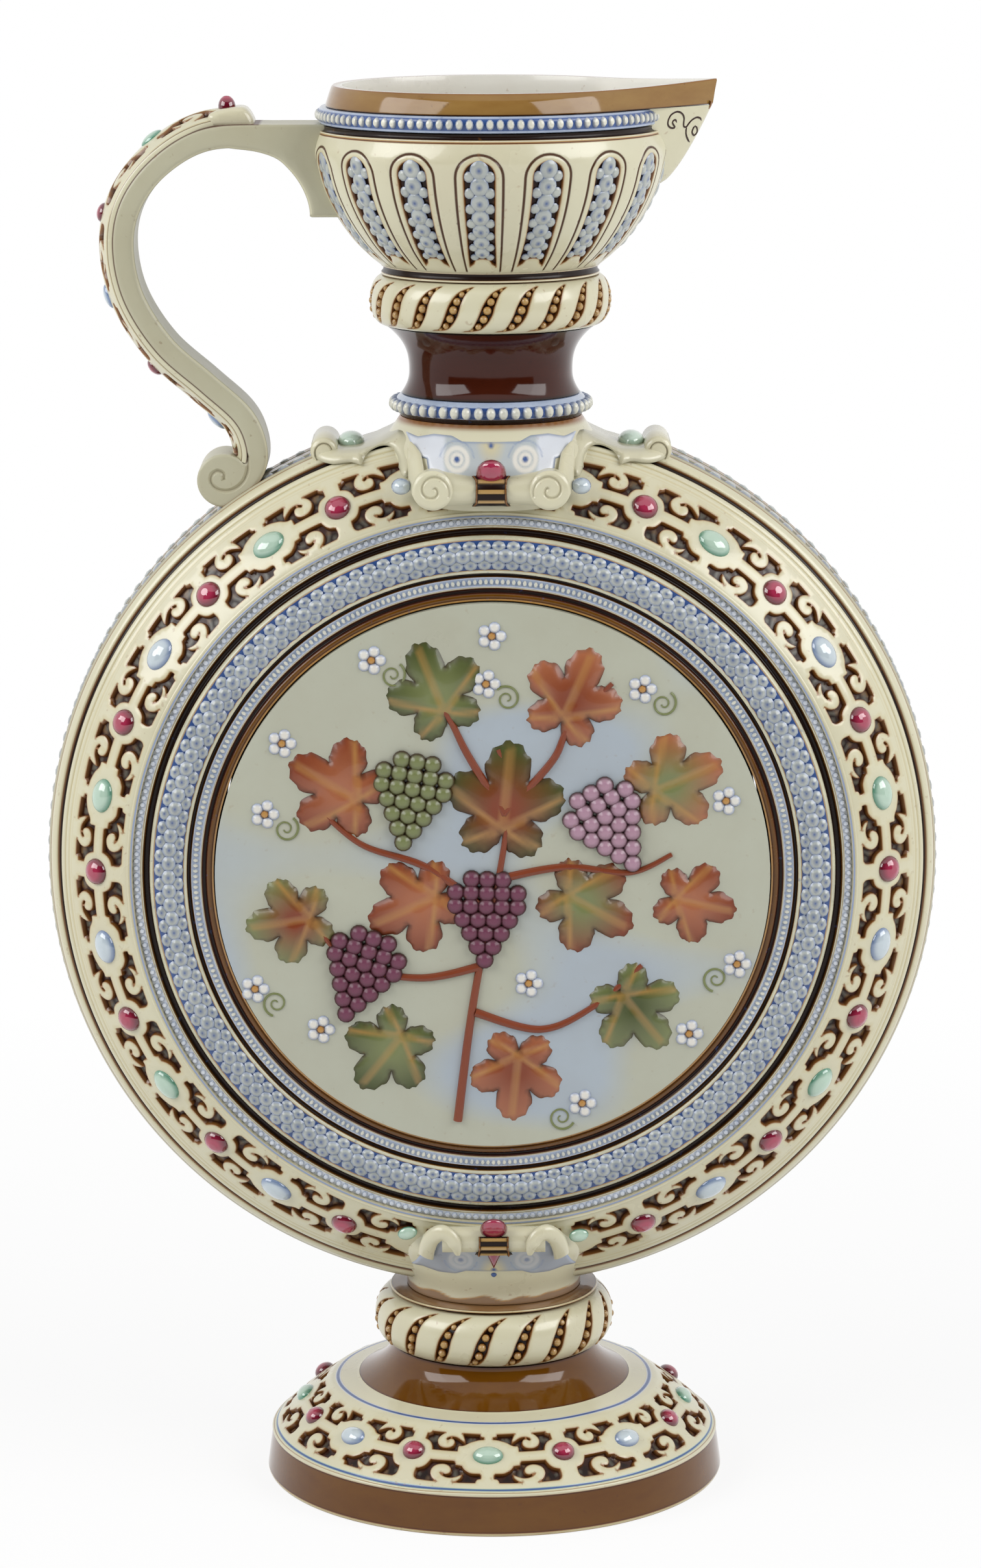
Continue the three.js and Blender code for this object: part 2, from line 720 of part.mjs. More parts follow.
// Guiding line of the handle, from the bowl over the arch and down to the volute.
function handleCurve() {
  const reach = handleReach;
  const top = handleTop;
  const seatX = voluteCentre.x + voluteRadius + 2;
  const seatZ = voluteCentre.y;
  return new THREE.SplineCurve([
    [-bowlRadius + 4, top - 1.5],
    [-bowlRadius - 19, top - 0.4],
    [-reach + 26.6, top - 2],
    [-reach + 13, top - 10],
    [-reach + 3.3, top - 22],
    [-reach, top - 35.8],
    [-reach + 3, top - 52.7],
    [-reach + 13, top - 69],
    [-reach + 27.2, top - 81.8],
    [seatX - 5.5, seatZ + 21.5],
    [seatX - 1, seatZ + 12.7],
    [seatX - 0.5, seatZ + 4],
    [seatX - 5, seatZ - 4],
  ].map(([x, z]) => new THREE.Vector2(x, z)));
}

// A section carried along the handle's guiding line; a section point is [across, outward].
// The strap and the scroll share their steps, so that they stay parallel.
function sweptOnHandle(sectionAt, firstStep, lastStep) {
  const curve = handleCurve();
  const loops = [];
  for (let step = firstStep; step <= lastStep; step += 1) {
    const part = step / handleSteps;
    const point = curve.getPointAt(part);
    const along = curve.getTangentAt(part);
    loops.push(sectionAt(part).map(([across, outward]) => new THREE.Vector3(
      point.x + along.y * outward,
      across,
      point.y - along.x * outward,
    )));
  }
  return lofted(loops);
}

// Handle's section: flat sides and outside, bevelled to a narrower inside, thinner past the root.
function handleSectionAt(part, grow) {
  const half = handleWidth / 2 + grow;
  const innerHalf = handleInnerWidth / 2 + grow;
  const rootShare = Math.max(0, 1 - 3 * part);
  const thickness = handleThickness + (handleRootThickness - handleThickness) * rootShare;
  const outside = handleFace + grow;
  const inside = handleFace - thickness - grow;
  return [
    [-innerHalf, inside],
    [innerHalf, inside],
    [half, inside + handleBevel],
    [half, outside],
    [-half, outside],
    [-half, inside + handleBevel],
  ];
}

// Handle's body, grown by an allowance: the scroll, its volute and the root on the bowl.
function handleBody(grow) {
  const half = handleWidth / 2 + grow;
  const scroll = sweptOnHandle((part) => handleSectionAt(part, grow), 0, handleSteps);
  const volute = rodAlongY(voluteCentre.x, voluteCentre.y, voluteRadius + grow, -half, half, 28);
  const root = slab([
    [-18, -4.2], [-10, -7.6], [-5, -13.8], [-2, -19.5], [-1, -handleSlot], [14, -handleSlot],
    [14, 2.5 + grow], [-18, 3.5 + grow],
  ].map(([x, z]) => [-bowlRadius + x, handleTop + z]), -half, half);
  return scroll.add(volute).add(root);
}

// Handle: its body cut to the bowl at the top and to the flask's rim at the bottom.
function handleSolid(flaskSeat) {
  const above = [[bowlTopRadius + luting, lipTop], [0, lipTop]];
  const bowlGrown = turned([[0, bowlBottom], ...bowlSide(luting), ...above]);
  return handleBody(0).subtract(bowlGrown).subtract(flaskSeat);
}

// Strap: the domed jewelled strip laid along the outside of the scroll.
function strapSolid() {
  const half = strapWidth / 2;
  const seat = handleFace + luting;
  const crown = seat + strapCrown;
  const flank = seat + 0.72 * strapCrown;
  const section = [
    [half, seat], [-half, seat], [-half, seat + strapEdge], [-0.6 * half, flank],
    [0, crown], [0.6 * half, flank], [half, seat + strapEdge],
  ];
  const clear = voluteRadius + luting;
  const volute = rodAlongY(voluteCentre.x, voluteCentre.y, clear, -handleWidth, handleWidth, 28);
  return sweptOnHandle(() => section, strapFirstStep, strapLastStep).subtract(volute);
}

// Boss: the rolled block that ends the strap on top of the handle.
function bossSolid() {
  const strapEnd = handleCurve().getPointAt(strapFirstStep / handleSteps);
  const right = strapEnd.x + bossLength - 0.8;
  const left = strapEnd.x + luting;
  const base = handleTop + handleFace;
  const top = base + bossHeight;
  return slab([
    [left, handleTop], [right, handleTop], [right + 1, base + 1.5], [right - 1, top - 0.8],
    [right - 4, top], [left + 1, top], [left, top - 1.5],
  ], -bossWidth / 2, bossWidth / 2).subtract(handleBody(luting));
}

// The whole jug.
const jug = new THREE.Group();

function place(name, solid, material) {
  const { vertProperties, triVerts } = solid.getMesh();
  const geometry = new THREE.BufferGeometry();
  geometry.setAttribute('position', new THREE.BufferAttribute(vertProperties, 3));
  geometry.setIndex(new THREE.BufferAttribute(triVerts, 1));
  geometry.computeVertexNormals();
  const mesh = new THREE.Mesh(geometry, material);
  mesh.name = name;
  jug.add(mesh);
}

const flaskSeat = flaskBody(luting);
const flaskGrown = flaskBody(luting + armThickness);
const bore = plug(boreRadius, flaskTop - 40, collarBottom + 1);
const collarRoom = plug(upperCollarRadius + 3, upperSaddleTop - luting, flaskTop + 5);
const neckRoom = bore.add(collarRoom).add(roofSolid(0));
const trough = troughSolid();

place('foot', footSolid(), creamGlaze);
const footKnopSize = [footKnopHeight, footKnopEndRadius, footKnopRadius];
place('foot_knop', knopSolid(footKnopBottom, ...footKnopSize, footBoreRadius), creamGlaze);
place('foot_saucer', saucerSolid(), taupeGlaze);
place('lower_saddle', lowerSaddleSolid(flaskSeat), creamGlaze);
place('rim_band', rimBandSolid().subtract(neckRoom), blueGlaze);
place('upper_saddle', upperSaddleSolid(flaskSeat, flaskGrown, bore), creamGlaze);

for (const [side, back] of [['front', false], ['back', true]]) {
  place(`flask_${side}`, faced(panSolid(), back).subtract(neckRoom), creamGlaze);
  place(`${side}_frame`, faced(frameSolid(), back), blueGlaze);
  place(`${side}_medallion`, faced(medallionSolid(), back), medallionClay);
  const ends = [
    ['upper', upperBolsterHeight, upperSaddleDepth, bolsterVoluteShift, upperJewelRise, upperJewelProud],
    ['lower', lowerBolsterHeight, lowerSaddleDepth, -bolsterVoluteShift, lowerJewelRise, lowerJewelProud],
  ];
  for (const [end, height, depth, shift, rise, proud] of ends) {
    place(`${end}_bolster_${side}`, faced(bolsterSolid(height, depth, shift), back), creamGlaze);
    place(`${end}_clasp_${side}`, faced(claspSolid(height, depth), back), goldEnamel);
    place(`${end}_jewel_${side}`, faced(jewelSolid(height, depth, rise, proud), back), redEnamel);
  }
}

place('neck_collar', collarSolid(), blueGlaze);
place('neck', neckSolid(), brownGlaze);
const neckKnopSize = [neckKnopHeight, neckKnopEndRadius, neckKnopRadius];
place('neck_knop', knopSolid(neckKnopBottom, ...neckKnopSize, boreRadius), creamGlaze);
place('mouth_bowl', bowlSolid().subtract(trough), creamGlaze);
place('mouth_band', bandSolid().subtract(trough), blueGlaze);
place('mouth_lip', lipSolid(trough), taupeGlaze);
place('spout_apron', apronSolid(trough), creamGlaze);
place('handle', handleSolid(flaskSeat), stoneGlaze);
place('handle_strap', strapSolid(), creamGlaze);
place('handle_boss', bossSolid(), creamGlaze);

// Green beads bedded in the hollow of each arm, beside the volute.
for (const [side, sign] of [['left', -1], ['right', 1]]) {
  const x = sign * (armReach - 2 * armVoluteRadius - beadRadius - 0.2);
  const voluteHeight = upperSaddleTop - armVoluteDrop;
  const bead = ball(beadRadius, x, 0, voluteHeight + 0.6 * armVoluteRadius);
  const lifted = armOutline(sign).map(([px, pz]) => [px, pz + luting]);
  const seat = slab(lifted, -upperSaddleDepth, upperSaddleDepth);
  const voluteX = sign * (armReach - armVoluteRadius);
  const clear = armVoluteRadius + luting;
  const volute = rodAlongY(voluteX, voluteHeight, clear, -armVoluteHalfWidth, armVoluteHalfWidth);
  place(`${side}_shoulder_bead`, bead.subtract(seat).subtract(volute), greenEnamel);
}

export default jug;
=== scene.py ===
"""Looks of a stoneware wine jug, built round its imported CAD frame.

Sizes are in millimetres, in the frame's axes: +Z up, the photographed face towards -Y and the
spout towards +X. Every mesh is worked out as whole numpy arrays and turned to metres once,
when its object is made.
"""

from __future__ import annotations

import json
import logging
import math
from collections.abc import Callable, Sequence
from dataclasses import dataclass, replace
from enum import Enum

import bpy
import numpy as np
from mathutils import Euler, Matrix, Vector
from mathutils.geometry import delaunay_2d_cdt

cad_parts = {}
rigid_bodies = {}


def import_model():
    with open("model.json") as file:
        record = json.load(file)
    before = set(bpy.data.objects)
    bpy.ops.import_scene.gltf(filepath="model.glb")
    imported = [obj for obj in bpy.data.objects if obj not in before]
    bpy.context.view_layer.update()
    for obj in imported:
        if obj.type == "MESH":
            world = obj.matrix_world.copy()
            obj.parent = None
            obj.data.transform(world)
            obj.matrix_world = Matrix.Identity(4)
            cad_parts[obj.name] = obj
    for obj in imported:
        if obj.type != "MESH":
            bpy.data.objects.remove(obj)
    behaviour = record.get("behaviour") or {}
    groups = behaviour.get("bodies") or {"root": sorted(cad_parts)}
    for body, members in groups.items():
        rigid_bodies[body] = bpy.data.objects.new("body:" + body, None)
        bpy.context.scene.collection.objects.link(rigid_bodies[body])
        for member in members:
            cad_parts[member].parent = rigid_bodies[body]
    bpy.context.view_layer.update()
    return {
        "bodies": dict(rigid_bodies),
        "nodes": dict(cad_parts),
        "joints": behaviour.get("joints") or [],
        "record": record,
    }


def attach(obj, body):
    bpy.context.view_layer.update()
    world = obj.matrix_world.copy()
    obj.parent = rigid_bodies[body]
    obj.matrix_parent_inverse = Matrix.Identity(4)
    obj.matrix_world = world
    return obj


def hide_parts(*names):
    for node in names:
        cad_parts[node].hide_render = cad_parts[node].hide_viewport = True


LOG = logging.getLogger("wine_jug")
MM = 0.001
# Middle of the round flask above the floor, and its radius over the rim's pearls.
FLASK_HEIGHT = 218.9
FLASK_RADIUS = 152.0
# The least length that a direction is divided by.
TINY = 1e-9


def linear(code: str) -> np.ndarray:
    """Linear colour of an sRGB hex value.

    Args:
        code: six hex digits, without a hash sign.

    Returns:
        Three linear values between 0 and 1.
    """
    srgb = np.array([int(code[i : i + 2], 16) for i in (0, 2, 4)]) / 255
    return np.where(srgb <= 0.04045, srgb / 12.92, ((srgb + 0.055) / 1.055) ** 2.4)


class Tint(Enum):
    """Colours of the glazes and of the stained clays, and one of painted shade, as sRGB hex values."""

    CREAM = "D0CCB0"
    CREAM_WARM = "C9C09A"
    CREAM_SHADE = "B5B299"
    # Painted shade: the grey of the handle's inside wall, as it looks in shade.
    STONE_SHADE = "A09E86"
    IVORY = "DAD8C8"
    AMBER = "8A5A26"
    HONEY = "B98B4A"
    TAN = "B08E56"
    UMBER = "1F110C"
    BROWN = "4A2416"
    RUSSET = "69410A"
    NECK = "3E180C"
    TAUPE = "8A6A48"
    OCHRE = "95733F"
    BLUE = "37548C"
    PERIWINKLE = "8C9AB6"
    SKY = "A9B6CA"
    SCALE = "B4B8B0"
    LILAC = "D4D9E1"
    RED = "A22E4C"
    RED_DARK = "5E0E20"
    GREEN = "B2CBB9"
    GREEN_PALE = "C4D8CA"
    GREEN_DARK = "5A917A"
    ICE = "BFCBD2"
    ICE_DARK = "7388AE"
    FIELD = "B1B3A2"
    TERRACOTTA = "A0603F"
    RUST = "7C3A20"
    OLIVE = "727A4C"
    OLIVE_DARK = "454E27"
    PLUM = "6D3A50"
    PLUM_PALE = "A98598"
    WHITE = "DCDAD2"
    MIST = "B0B8BB"
    SLATE = "9AA1AE"
    CLOUD = "A2AFBE"
    LINE = "35211A"

    @property
    def linear(self) -> np.ndarray:
        """The colour as three linear values."""
        return linear(self.value)


def blended(places: np.ndarray, stops: Sequence[tuple[float, Tint]]) -> np.ndarray:
    """Colours along a scale: between two stops the colour runs evenly.

    Args:
        places: positions on the scale, of any array shape.
        stops: rising positions with their tints.

    Returns:
        Linear colours, one more axis of length 3 than the places.
    """
    at = [place for place, _ in stops]
    colours = np.array([tint.linear for _, tint in stops])
    return np.stack([np.interp(places, at, colours[:, k]) for k in range(3)], axis=-1)


def mixed(colours: np.ndarray, share: np.ndarray | float, tint: Tint) -> np.ndarray:
    """Linear colours with a share of a tint, 0 to 1, laid over each."""
    return colours * (1 - share) + share * tint.linear


def even_turns(count: int) -> np.ndarray:
    """Turns in degrees of count even places all the way round."""
    return np.arange(count) * 360 / count


def waver(turn: np.ndarray, seed: int, waves: int = 6, slowest: int = 2) -> np.ndarray:
    """A smooth unevenness that closes on itself: a sum of sines of whole numbers of waves.

    Args:
        turn: angles in degrees.
        seed: picks the waves' phases, the same at each run.
        waves: how many sines are added.
        slowest: the fewest waves in one turn.

    Returns:
        Values of about -1 to 1, of the same shape as turn.
    """
    dice = np.random.default_rng(seed)
    total = np.zeros_like(turn, dtype=float)
    for wave in range(waves):
        count = slowest + wave * 2 + int(dice.integers(0, 2))
        total += np.sin(np.radians(turn) * count + dice.uniform(0, 2 * math.pi)) / (1 + 0.35 * wave)
    return total / 2


def smooth_line(corners: Sequence[Sequence[float]], count: int) -> np.ndarray:
    """A uniform Catmull-Rom line through corners.

    Each span is the cubic whose slope at a corner is half the step between its neighbours.

    Args:
        corners: points of any dimension.
        count: how many points to return, evenly spaced by parameter.

    Returns:
        An array of count points.
    """
    given = np.asarray(corners, dtype=float)
    spans = len(given) - 1
    along = np.linspace(0, spans, count)
    span = np.minimum(along.astype(int), spans - 1)
    t = (along - span)[:, None]
    before, start = given[np.maximum(span - 1, 0)], given[span]
    end, after = given[span + 1], given[np.minimum(span + 2, spans)]
    leave, arrive = (end - before) / 2, (after - start) / 2
    cube = (2 * start - 2 * end + leave + arrive) * t**3
    return cube + (3 * end - 3 * start - 2 * leave - arrive) * t**2 + leave * t + start


def evenly(line: np.ndarray, step: float) -> np.ndarray:
    """Points along a line at even distances, both ends kept.

    Args:
        line: points of a polyline.
        step: the distance wanted between two points.

    Returns:
        The new points.
    """
    length = np.concatenate([[0], np.cumsum(np.linalg.norm(np.diff(line, axis=0), axis=1))])
    places = np.linspace(0, length[-1], max(2, round(length[-1] / step) + 1))
    return np.stack([np.interp(places, length, line[:, k]) for k in range(line.shape[1])], axis=-1)


def traced(strokes: Sequence[Sequence[tuple[float, float]]], step: float) -> np.ndarray:
    """A closed outline of smooth strokes that meet in sharp corners.

    Args:
        strokes: each a list of points; each starts where the one before it ends.
        step: the distance between two points of the result.

    Returns:
        The outline's points in order, the first not repeated at the end.
    """
    lines = [evenly(smooth_line(stroke, 12 * len(stroke)), step)[:-1] for stroke in strokes]
    return np.concatenate(lines)


def crosswise(run: np.ndarray) -> np.ndarray:
    """Unit vectors a quarter turn to the right of flat directions."""
    return np.stack([run[:, 1], -run[:, 0]], 1) / np.maximum(np.linalg.norm(run, axis=1), TINY)[:, None]


def segment_distance(points: np.ndarray, start: np.ndarray, span: np.ndarray) -> np.ndarray:
    """Least distance of points to segments.

    The nearest place on a segment is where the point falls square on it, held to its ends.

    Args:
        points: n points on a plane.
        start: where m segments start.
        span: the steps from their starts to their ends.

    Returns:
        n distances.
    """
    from_start = points[:, None, :] - start[None]
    share = (from_start * span[None]).sum(-1) / np.maximum((span**2).sum(-1), 1e-12)[None]
    nearest = start[None] + np.clip(share, 0, 1)[..., None] * span[None]
    return np.linalg.norm(points[:, None, :] - nearest, axis=-1).min(axis=1)


def line_distance(points: np.ndarray, line: np.ndarray) -> np.ndarray:
    """Least distance of n points on a plane to an open line."""
    return segment_distance(points, line[:-1], np.diff(line, axis=0))


def edge_distance(points: np.ndarray, *outlines: np.ndarray) -> np.ndarray:
    """Distance of points to the nearest of some closed outlines, below zero inside it.

    A point is inside where a level ray from it crosses the outline an odd number of times.

    Args:
        points: n points on a plane.
        outlines: each a closed outline's points.

    Returns:
        n distances.
    """
    found = []
    for start in outlines:
        end = np.roll(start, -1, axis=0)
        span = end - start
        distance = segment_distance(points, start, span)
        above = (start[None, :, 1] > points[:, None, 1]) != (end[None, :, 1] > points[:, None, 1])
        rise = np.where(np.abs(span[:, 1]) < 1e-12, 1e-12, span[:, 1])
        crossing = start[None, :, 0] + (points[:, None, 1] - start[None, :, 1]) * (span[:, 0] / rise)[None]
        inside = (above & (points[:, None, 0] < crossing)).sum(axis=1) % 2 == 1
        found.append(np.where(inside, -distance, distance))
    return np.min(found, axis=0)


def staggered(low: Sequence[float], high: Sequence[float], spacing: float, shift: float) -> np.ndarray:
    """A net of points in rows, set so that its triangles are nearly even.

    Args:
        low: the net's lowest corner.
        high: its highest corner.
        spacing: distance between the points of a row; the rows lie 0.87 of it apart.
        shift: how far each second row is moved along.

    Returns:
        n points on a plane.
    """
    rows, columns = np.arange(low[1], high[1], spacing * 0.87), np.arange(low[0], high[0], spacing)
    net = np.stack(np.meshgrid(columns, rows), axis=-1)
    net[1::2, :, 0] += shift
    return net.reshape(-1, 2)


def looped(first: int, count: int) -> list[tuple[int, int]]:
    """Edges round a closed loop of count points, the first of which has this number."""
    return [(first + k, first + (k + 1) % count) for k in range(count)]


def triangulated(points: np.ndarray, edges: list[tuple[int, int]]) -> tuple[np.ndarray, np.ndarray]:
    """Delaunay triangles over points on a plane, kept to the given edges.

    Args:
        points: n points on a plane.
        edges: pairs of points that a triangle's edge has to join.

    Returns:
        The points used, and the triangles over them.
    """
    found, _, faces, _, _, _ = delaunay_2d_cdt([Vector(point) for point in points], edges, [], 0, 1e-5, False)
    return np.array([tuple(point) for point in found]), np.array([tuple(face) for face in faces])


@dataclass
class Shape:
    """A surface in millimetres: points, triangles and one glaze colour for each point."""

    points: np.ndarray
    faces: np.ndarray
    tints: np.ndarray

    @classmethod
    def grid(cls, points: np.ndarray, tints: np.ndarray, ring: bool = False, tube: bool = False) -> Shape:
        """A surface over a grid of rows and columns.

        Args:
            points: rows by columns by 3.
            tints: colours that can be spread over the same grid.
            ring: the last column joins the first.
            tube: the last row joins the first.

        Returns:
            The shape, its faces turned by rows then columns.
        """
        rows, columns = points.shape[:2]
        i = np.arange(rows if tube else rows - 1)[:, None]
        j = np.arange(columns if ring else columns - 1)[None, :]
        here = (i * columns + j).ravel()
        right = (i * columns + (j + 1) % columns).ravel()
        up = ((i + 1) % rows * columns + j).ravel()
        over = ((i + 1) % rows * columns + (j + 1) % columns).ravel()
        faces = np.concatenate([np.stack([here, right, over], 1), np.stack([here, over, up], 1)])
        colours = np.broadcast_to(tints, points.shape)
        return cls(points.reshape(-1, 3), faces, colours.reshape(-1, 3).copy())

    @classmethod
    def joined(cls, shapes: Sequence[Shape]) -> Shape:
        """All the shapes as one."""
        starts = np.cumsum([0] + [len(shape.points) for shape in shapes[:-1]])
        return cls(
            np.concatenate([shape.points for shape in shapes]),
            np.concatenate([shape.faces + start for shape, start in zip(shapes, starts)]),
            np.concatenate([shape.tints for shape in shapes]),
        )

    def half_turned(self) -> Shape:
        """The shape turned by half a turn about the jug's upright axis."""
        return Shape(self.points * [-1, -1, 1], self.faces, self.tints)

    def mirrored(self) -> Shape:
        """The shape mirrored left to right, its faces kept outwards."""
        return Shape(self.points * [-1, 1, 1], self.faces[:, ::-1], self.tints)

    def welded(self) -> Shape:
        """Makes points that lie on each other one, and drops collapsed faces.

        Returns:
            The welded shape.
        """
        rounded = np.round(self.points, 3)
        _, first, index = np.unique(rounded, axis=0, return_index=True, return_inverse=True)
        faces = index.ravel()[self.faces]
        a, b, c = faces.T
        kept = (a != b) & (b != c) & (c != a)
        return Shape(self.points[first], faces[kept], self.tints[first])

    def outward(self) -> Shape:
        """Turns the faces of a closed shape outwards, so that its signed volume is above zero.

        Returns:
            The shape, its faces turned where they had to be.
        """
        a, b, c = (self.points[self.faces[:, k]] for k in range(3))
        volume = (a * np.cross(b, c)).sum()
        return self if volume > 0 else Shape(self.points, self.faces[:, ::-1], self.tints)


def lofted(loops: np.ndarray, tints: np.ndarray) -> Shape:
    """A closed body through loops of points, with a fan over each end.

    Args:
        loops: n loops of m points.
        tints: colours that can be spread over the loops.

    Returns:
        The body, turned outwards.
    """
    body = Shape.grid(loops, tints, ring=True)
    count, last = loops.shape[1], len(loops) - 1
    ring = np.arange(count)
    hubs = Shape(loops[[0, last]].mean(axis=1), np.zeros((0, 3), int), body.tints[[0, -1]])
    first, after = len(body.points), (ring + 1) % count
    caps = [
        np.stack([np.full(count, first), after, ring], 1),
        np.stack([np.full(count, first + 1), last * count + ring, last * count + after], 1),
    ]
    body = Shape.joined([body, hubs])
    return Shape(body.points, np.concatenate([body.faces, *caps]), body.tints).outward()


def strip(line: np.ndarray, ups: np.ndarray, section: np.ndarray, tints: np.ndarray,
          grow: np.ndarray | None = None) -> Shape:
    """A closed bar: a section carried along a line.

    A point is the line's point plus the section's first value times the side vector, which is
    square to the line and the up vector, plus its second value times the up vector.

    Args:
        line: n points.
        ups: n up vectors, or one for all.
        section: m points of a closed section.
        tints: one colour, or a colour for each section point.
        grow: n scales of the section, all 1 when left out.

    Returns:
        The bar, turned outwards.
    """
    along = np.gradient(line, axis=0)
    ups = np.broadcast_to(np.asarray(ups, float), line.shape)
    sides = np.cross(along, ups)
    sides /= np.maximum(np.linalg.norm(sides, axis=1), TINY)[:, None]
    scale = np.ones(len(line)) if grow is None else grow
    across = sides[:, None, :] * section[None, :, :1] + ups[:, None, :] * section[None, :, 1:]
    return lofted(line[:, None, :] + across * scale[:, None, None], tints)


def brushed(line: np.ndarray, ups: np.ndarray, width: float, tint: Tint) -> Shape:
    """A painted line: a flat six-sided bar half sunk in the glaze, thin at both ends.

    Args:
        line: n points on the glaze.
        ups: the direction off the glaze.
        width: the line's width.
        tint: its colour.

    Returns:
        The closed bar.
    """
    turn = np.radians(even_turns(6))
    section = np.stack([width / 2 * np.cos(turn), 0.12 * np.sin(turn)], 1)
    ends = np.minimum(np.arange(len(line)), np.arange(len(line))[::-1])
    return strip(line, ups, section, tint.linear, np.clip(0.35 + ends * 0.25, 0, 1))


def spiral(middle: tuple[float, float], radii: tuple[float, float], start: float, turns: float,
           count: int = 40) -> np.ndarray:
    """A flat spiral whose radius goes evenly from one value to another.

    Args:
        middle: where it winds about.
        radii: the first and the last radius.
        start: the first point's angle in degrees.
        turns: how many turns it makes, below 0 clockwise.
        count: how many points to return.

    Returns:
        The points.
    """
    share = np.linspace(0, 1, count)
    angle = np.radians(start) + share * turns * 2 * math.pi
    radius = radii[0] + (radii[1] - radii[0]) * share
    return np.stack([middle[0] + radius * np.cos(angle), middle[1] + radius * np.sin(angle)], 1)


@dataclass(frozen=True)
class Panel:
    """A flat net of triangles inside an outline, with each point's distance to the outline."""

    places: np.ndarray
    faces: np.ndarray
    away: np.ndarray

    @classmethod
    def cut(cls, outline: np.ndarray, spacing: float, hems: Sequence[float] = (),
            lines: Sequence[np.ndarray] = ()) -> Panel:
        """Fills an outline with triangles that keep to it.

        Rows of points run along the outline at each hem's distance inside it, and a net of
        points in rows set off by half a step fills the rest.

        Args:
            outline: the closed outline's points.
            spacing: distance between the net's points.
            hems: distances inside the outline at which a row of points runs.
            lines: open lines that the triangles keep to as well.

        Returns:
            The panel.
        """
        net = staggered(outline.min(axis=0), outline.max(axis=0), spacing, spacing / 2)
        net = net[edge_distance(net, outline) < -(max(hems, default=0) + 0.45 * spacing)]
        for line in lines:
            net = net[line_distance(net, line) > 0.4 * spacing]
        inward = -crosswise(np.roll(outline, -1, axis=0) - np.roll(outline, 1, axis=0))
        if edge_distance(outline[:1] + inward[:1] * 0.05, outline)[0] > 0:
            inward = -inward
        parts = [outline, net]
        for hem in hems:
            row = outline + inward * hem
            parts.append(row[np.abs(edge_distance(row, outline) + hem) < 0.15 * hem])
        count, edges = sum(len(part) for part in parts), looped(0, len(outline))
        for line in lines:
            edges += [(count + k, count + k + 1) for k in range(len(line) - 1)]
            count += len(line)
        places, faces = triangulated(np.concatenate([*parts, *lines]), edges)
        inside = edge_distance(places[faces].mean(axis=1), outline) < 0
        return cls(places, faces[inside], np.maximum(-edge_distance(places, outline), 0))

    def shell(self, front: np.ndarray, back: np.ndarray, tints: np.ndarray) -> Shape:
        """A closed body: the net as its front, the same net as its back, and walls between.

        Args:
            front: a point in space for each of the panel's places.
            back: the same for the other side.
            tints: a colour for each place.

        Returns:
            The body, turned outwards.
        """
        count = len(self.places)
        pairs = np.concatenate([self.faces[:, [0, 1]], self.faces[:, [1, 2]], self.faces[:, [2, 0]]])
        _, index, uses = np.unique(np.sort(pairs, axis=1), axis=0, return_inverse=True, return_counts=True)
        a, b = pairs[uses[index.ravel()] == 1].T
        walls = np.concatenate([np.stack([b, a, a + count], 1), np.stack([b, a + count, b + count], 1)])
        faces = np.concatenate([self.faces, self.faces[:, ::-1] + count, walls])
        colours = np.broadcast_to(tints, front.shape)
        body = Shape(np.concatenate([front, back]), faces, np.concatenate([colours, colours]))
        return body.welded().outward()


class Side(Enum):
    """How a turned surface's axis stands."""

    UPRIGHT = "upright"
    FLASK = "flask"

    def carried(self, radius: np.ndarray, height: np.ndarray, turn: np.ndarray) -> np.ndarray:
        """Points of an outline carried round the axis.

        Upright, the turn counts from the front towards the spout. On the flask it counts from
        the spout's side upwards, and the height is the depth towards the front.

        Args:
            radius: distances from the axis.
            height: places along the axis.
            turn: angles in degrees.

        Returns:
            Points, one more axis of length 3 than the broadcast inputs.
        """
        radius, height, angle = np.broadcast_arrays(radius, height, np.radians(turn))
        if self is Side.FLASK:
            return np.stack([radius * np.cos(angle), -height, FLASK_HEIGHT + radius * np.sin(angle)], -1)
        return np.stack([radius * np.sin(angle), -radius * np.cos(angle), height], -1)


class Cut(Enum):
    """How a moulding is cut."""

    FLAT = "flat"
    ROUND = "round"
    HOLLOW = "hollow"


@dataclass(frozen=True)
class Moulding:
    """One ring of a turned surface between two places on its path, in millimetres.

    It rises off the surface, and the edge's colour fades to the tint over the hem.
    """

    start: float
    end: float
    rise: float
    tint: Tint
    edge: Tint | None = None
    cut: Cut = Cut.FLAT
    hem: float = 0.35

    def stops(self, step: float) -> tuple[np.ndarray, np.ndarray, np.ndarray]:
        """Places, heights and colours across the moulding.

        A round one is half a circle squeezed to its rise, a hollow one the same downwards and
        a flat one is level between two short slopes. The edge colour fades over the hem.

        Args:
            step: the largest distance between two places.

        Returns:
            Places, rises and colours.
        """
        width, gap = self.end - self.start, 0.02
        hem = min(self.hem, 0.3 * width)
        inner = np.linspace(self.start + hem, self.end - hem, max(3, math.ceil(width / step) + 1))
        places = np.concatenate([[self.start + gap], inner, [self.end - gap]])
        across = np.clip(2 * (places - self.start) / width - 1, -1, 1)
        swell = np.sqrt(1 - across**2)
        if self.cut is Cut.FLAT:
            rises = np.concatenate([[0], np.full(len(inner), self.rise), [0]])
        else:
            rises = self.rise * swell * (1 if self.cut is Cut.ROUND else -1)
        near = np.minimum(places - self.start, self.end - places)
        return places, rises, blended(near, [(0, self.edge or self.tint), (hem, self.tint)])


